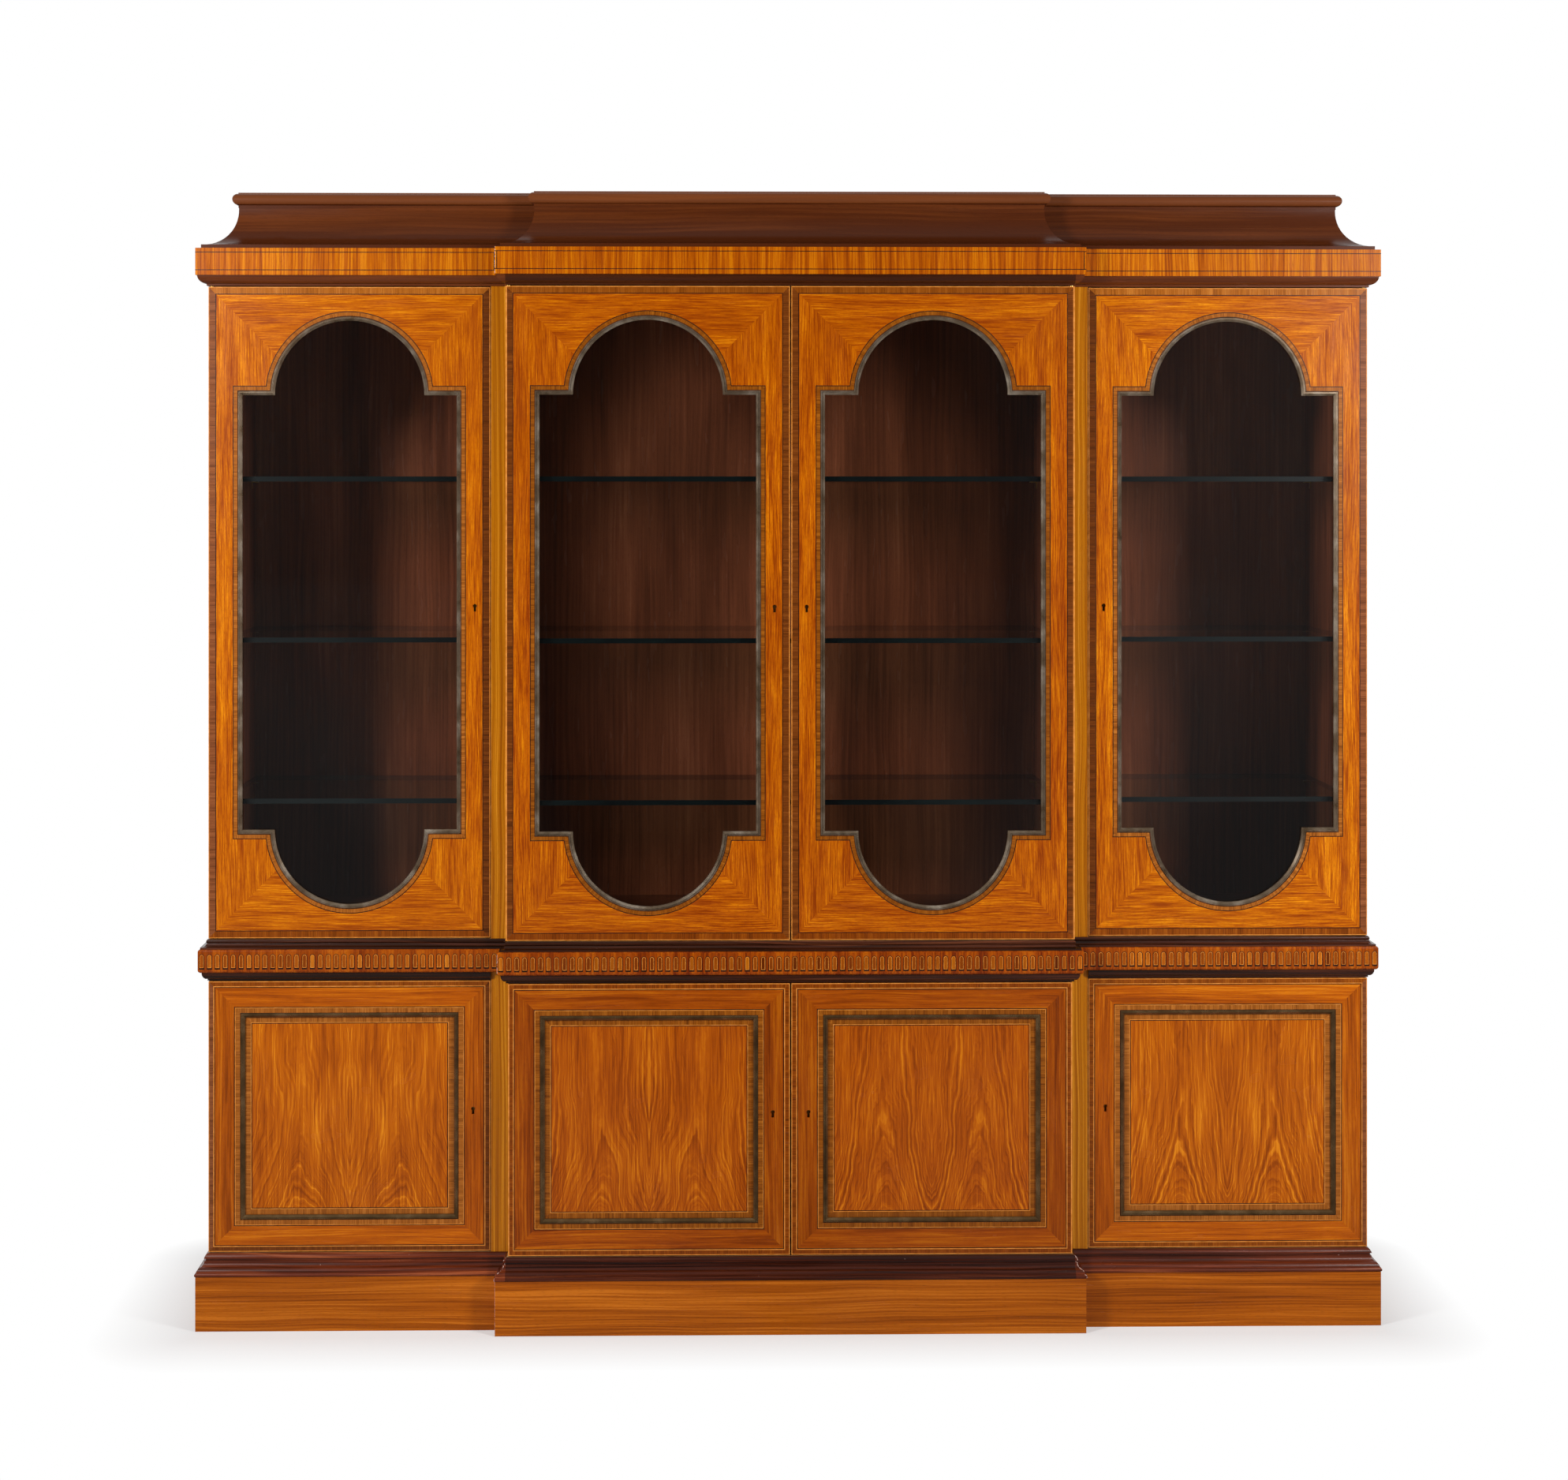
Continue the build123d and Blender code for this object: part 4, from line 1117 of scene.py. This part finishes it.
# A painted highlight: a thin pale line down the outer edge of each fixed stile
for level in ("lower", "upper"):
    bottom, top = low(f"{level}_case_sides").z, high(f"{level}_case_sides").z
    for side, way in SIDES:
        edge = side * high("fixed_stiles").x
        inner = edge - side * STILE_HIGHLIGHT
        upright_line(f"{level}_{way}_stile_highlight", min(edge, inner), max(edge, inner), bottom, top,
                     low("fixed_stiles").y, "pale_line_and_highlight")

# Materials of the kept CAD nodes
for door in DOOR_NAMES:
    dress(f"{door}_door_frame", "satin_edge")
    dress(f"{door}_door_hardware", "brass")
    dress(f"{door}_door_bolt", "brass")
    if door.startswith("upper"):
        dress(f"{door}_door_glass", "door_glass")
        dress(f"{door}_door_bead", "bead_upper")
    else:
        dress(f"{door}_door_bead", "bead_lower")
        dress(f"{door}_door_panel", "inside_upright")
for node_name, material_name in (
        ("plinth", "satin_plinth"), ("base_moulding", "mahogany"), ("waist_mouldings", "mahogany_dark"),
        ("waist_band", "satin_band"), ("cornice_under_moulding", "cornice_under"),
        ("cornice_moulding", "cornice"), ("frieze", "satin_frieze"), ("fixed_stiles", "satin_stile"),
        ("base_framing", "timber"), ("waist_framing", "timber"), ("cornice_framing", "timber"),
        ("lower_case_sides", "case_ends"), ("upper_case_sides", "case_ends"),
        ("lower_case_floors_and_tops", "inside_level"), ("upper_case_floors_and_tops", "inside_level"),
        ("back_panels", "inside_upright"), ("lower_shelves", "inside_level"),
        ("glass_shelves", "shelf_glass"), ("shelf_supports", "brass"), ("case_hardware", "brass")):
    dress(node_name, material_name)


# Floor, room, lamps and camera

def seen(t, path):
    """1 for a ray that comes from the camera, straight or through glass."""
    return t.larger(path["Is Camera Ray"], path["Is Transmission Ray"])


def build_floor():
    """A pale floor that keeps the soft shadow."""
    bm = bmesh.new()
    bmesh.ops.create_circle(bm, cap_ends=True, segments=FLOOR_STEPS, radius=FLOOR_RADIUS)
    mesh = bpy.data.meshes.new("floor")
    bm.to_mesh(mesh)
    bm.free()
    floor = bpy.data.objects.new("floor", mesh)
    floor.location.z = -FLOOR_DROP
    bpy.context.scene.collection.objects.link(floor)
    t = new_material("floor_white")
    place = t.place()
    x, y, _ = t.split(place)
    path = t.new("ShaderNodeLightPath").outputs
    grey = t.shader("BsdfDiffuse", {"Color": FLOOR_GREY})
    white = t.shader("Emission", {"Color": WHITE, "Strength": 1.0})
    beside = t.larger(t.minus(t.size(x), HALF_CASE + PLINTH_OUT), 0.0)
    before = t.larger(t.minus(t.size(y), BACK_Y), 0.0)
    clear = t.span(t.length(beside, before), 0.0, SHADOW_REACH, *FLOOR_CLEAR)
    shown = t.between(t.times(seen(t, path), clear), grey, white)
    far = t.new("ShaderNodeVectorMath", {0: place}, operation="LENGTH").outputs["Value"]
    bearing = t.math("DIVIDE", t.size(x), far)
    glow = t.larger(t.span(far, *FLOOR_GLOW_REACH, FLOOR_MIRRORED, ROOM_MIRRORED),
                    t.span(bearing, *SIDES_FROM, ROOM_MIRRORED, SIDES_MIRRORED))
    mirrored = t.shader("Emission", {"Color": WHITE, "Strength": glow})
    t.finish(t.between(path["Is Glossy Ray"], shown, mirrored))
    mesh.materials.append(M["floor_white"])
    floor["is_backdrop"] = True


def build_world():
    """White behind the object, and a plain grey room for light on it, darker where the camera is."""
    world = bpy.data.worlds.new("studio")
    bpy.context.scene.world = world
    world.use_nodes = True
    t = Tree(world.node_tree)
    x, y, z = t.split(t.new("ShaderNodeTexCoord").outputs["Generated"])
    path = t.new("ShaderNodeLightPath").outputs
    glossy = path["Is Glossy Ray"]
    behind = t.larger(t.span(y, *BEHIND_FROM), t.span(z, *ABOVE_FROM, 0.0, ABOVE_MIRRORED))
    beside = t.span(t.size(x), *SIDES_FROM, ROOM_MIRRORED, SIDES_MIRRORED)
    mirrored = t.times(glossy, t.larger(behind, beside))
    fill = t.times(t.minus(1.0, glossy), t.span(y, *FILL_FROM, FRONT_FILL, WORLD_FILL))
    strength = t.larger(t.larger(seen(t, path), mirrored), fill)
    back = t.shader("Background", {"Color": WHITE, "Strength": strength})
    t.new("ShaderNodeOutputWorld", {"Surface": back})


def softbox(name, place, aim, watts):
    """A soft lamp that points at a place."""
    lamp = bpy.data.lights.new(name, "AREA")
    lamp.shape = "RECTANGLE"
    lamp.size, lamp.size_y = LAMP_SIZE
    lamp.energy = watts
    obj = bpy.data.objects.new(name, lamp)
    obj.location = place
    obj.rotation_euler = (Vector(aim) - Vector(place)).to_track_quat("-Z", "Y").to_euler()
    bpy.context.scene.collection.objects.link(obj)


def build_camera():
    """The camera that took the photograph."""
    camera = bpy.data.cameras.new("camera")
    camera.sensor_fit = "HORIZONTAL"
    camera.sensor_width = SENSOR_WIDTH
    camera.lens = CAMERA_LENS
    camera.shift_x, camera.shift_y = CAMERA_SHIFT
    camera.clip_end = CAMERA_REACH
    obj = bpy.data.objects.new("camera", camera)
    obj.location = CAMERA_PLACE
    obj.rotation_euler = Euler((math.radians(90), 0, math.radians(CAMERA_TURN)), "XYZ")
    bpy.context.scene.collection.objects.link(obj)
    bpy.context.scene.camera = obj


build_floor()
build_world()
for lamp_facts in LAMPS:
    softbox(*lamp_facts)
build_camera()
bpy.context.scene.view_settings.view_transform = "Standard"

{"cad": CAD_BOX, "visual": plain(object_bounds())}
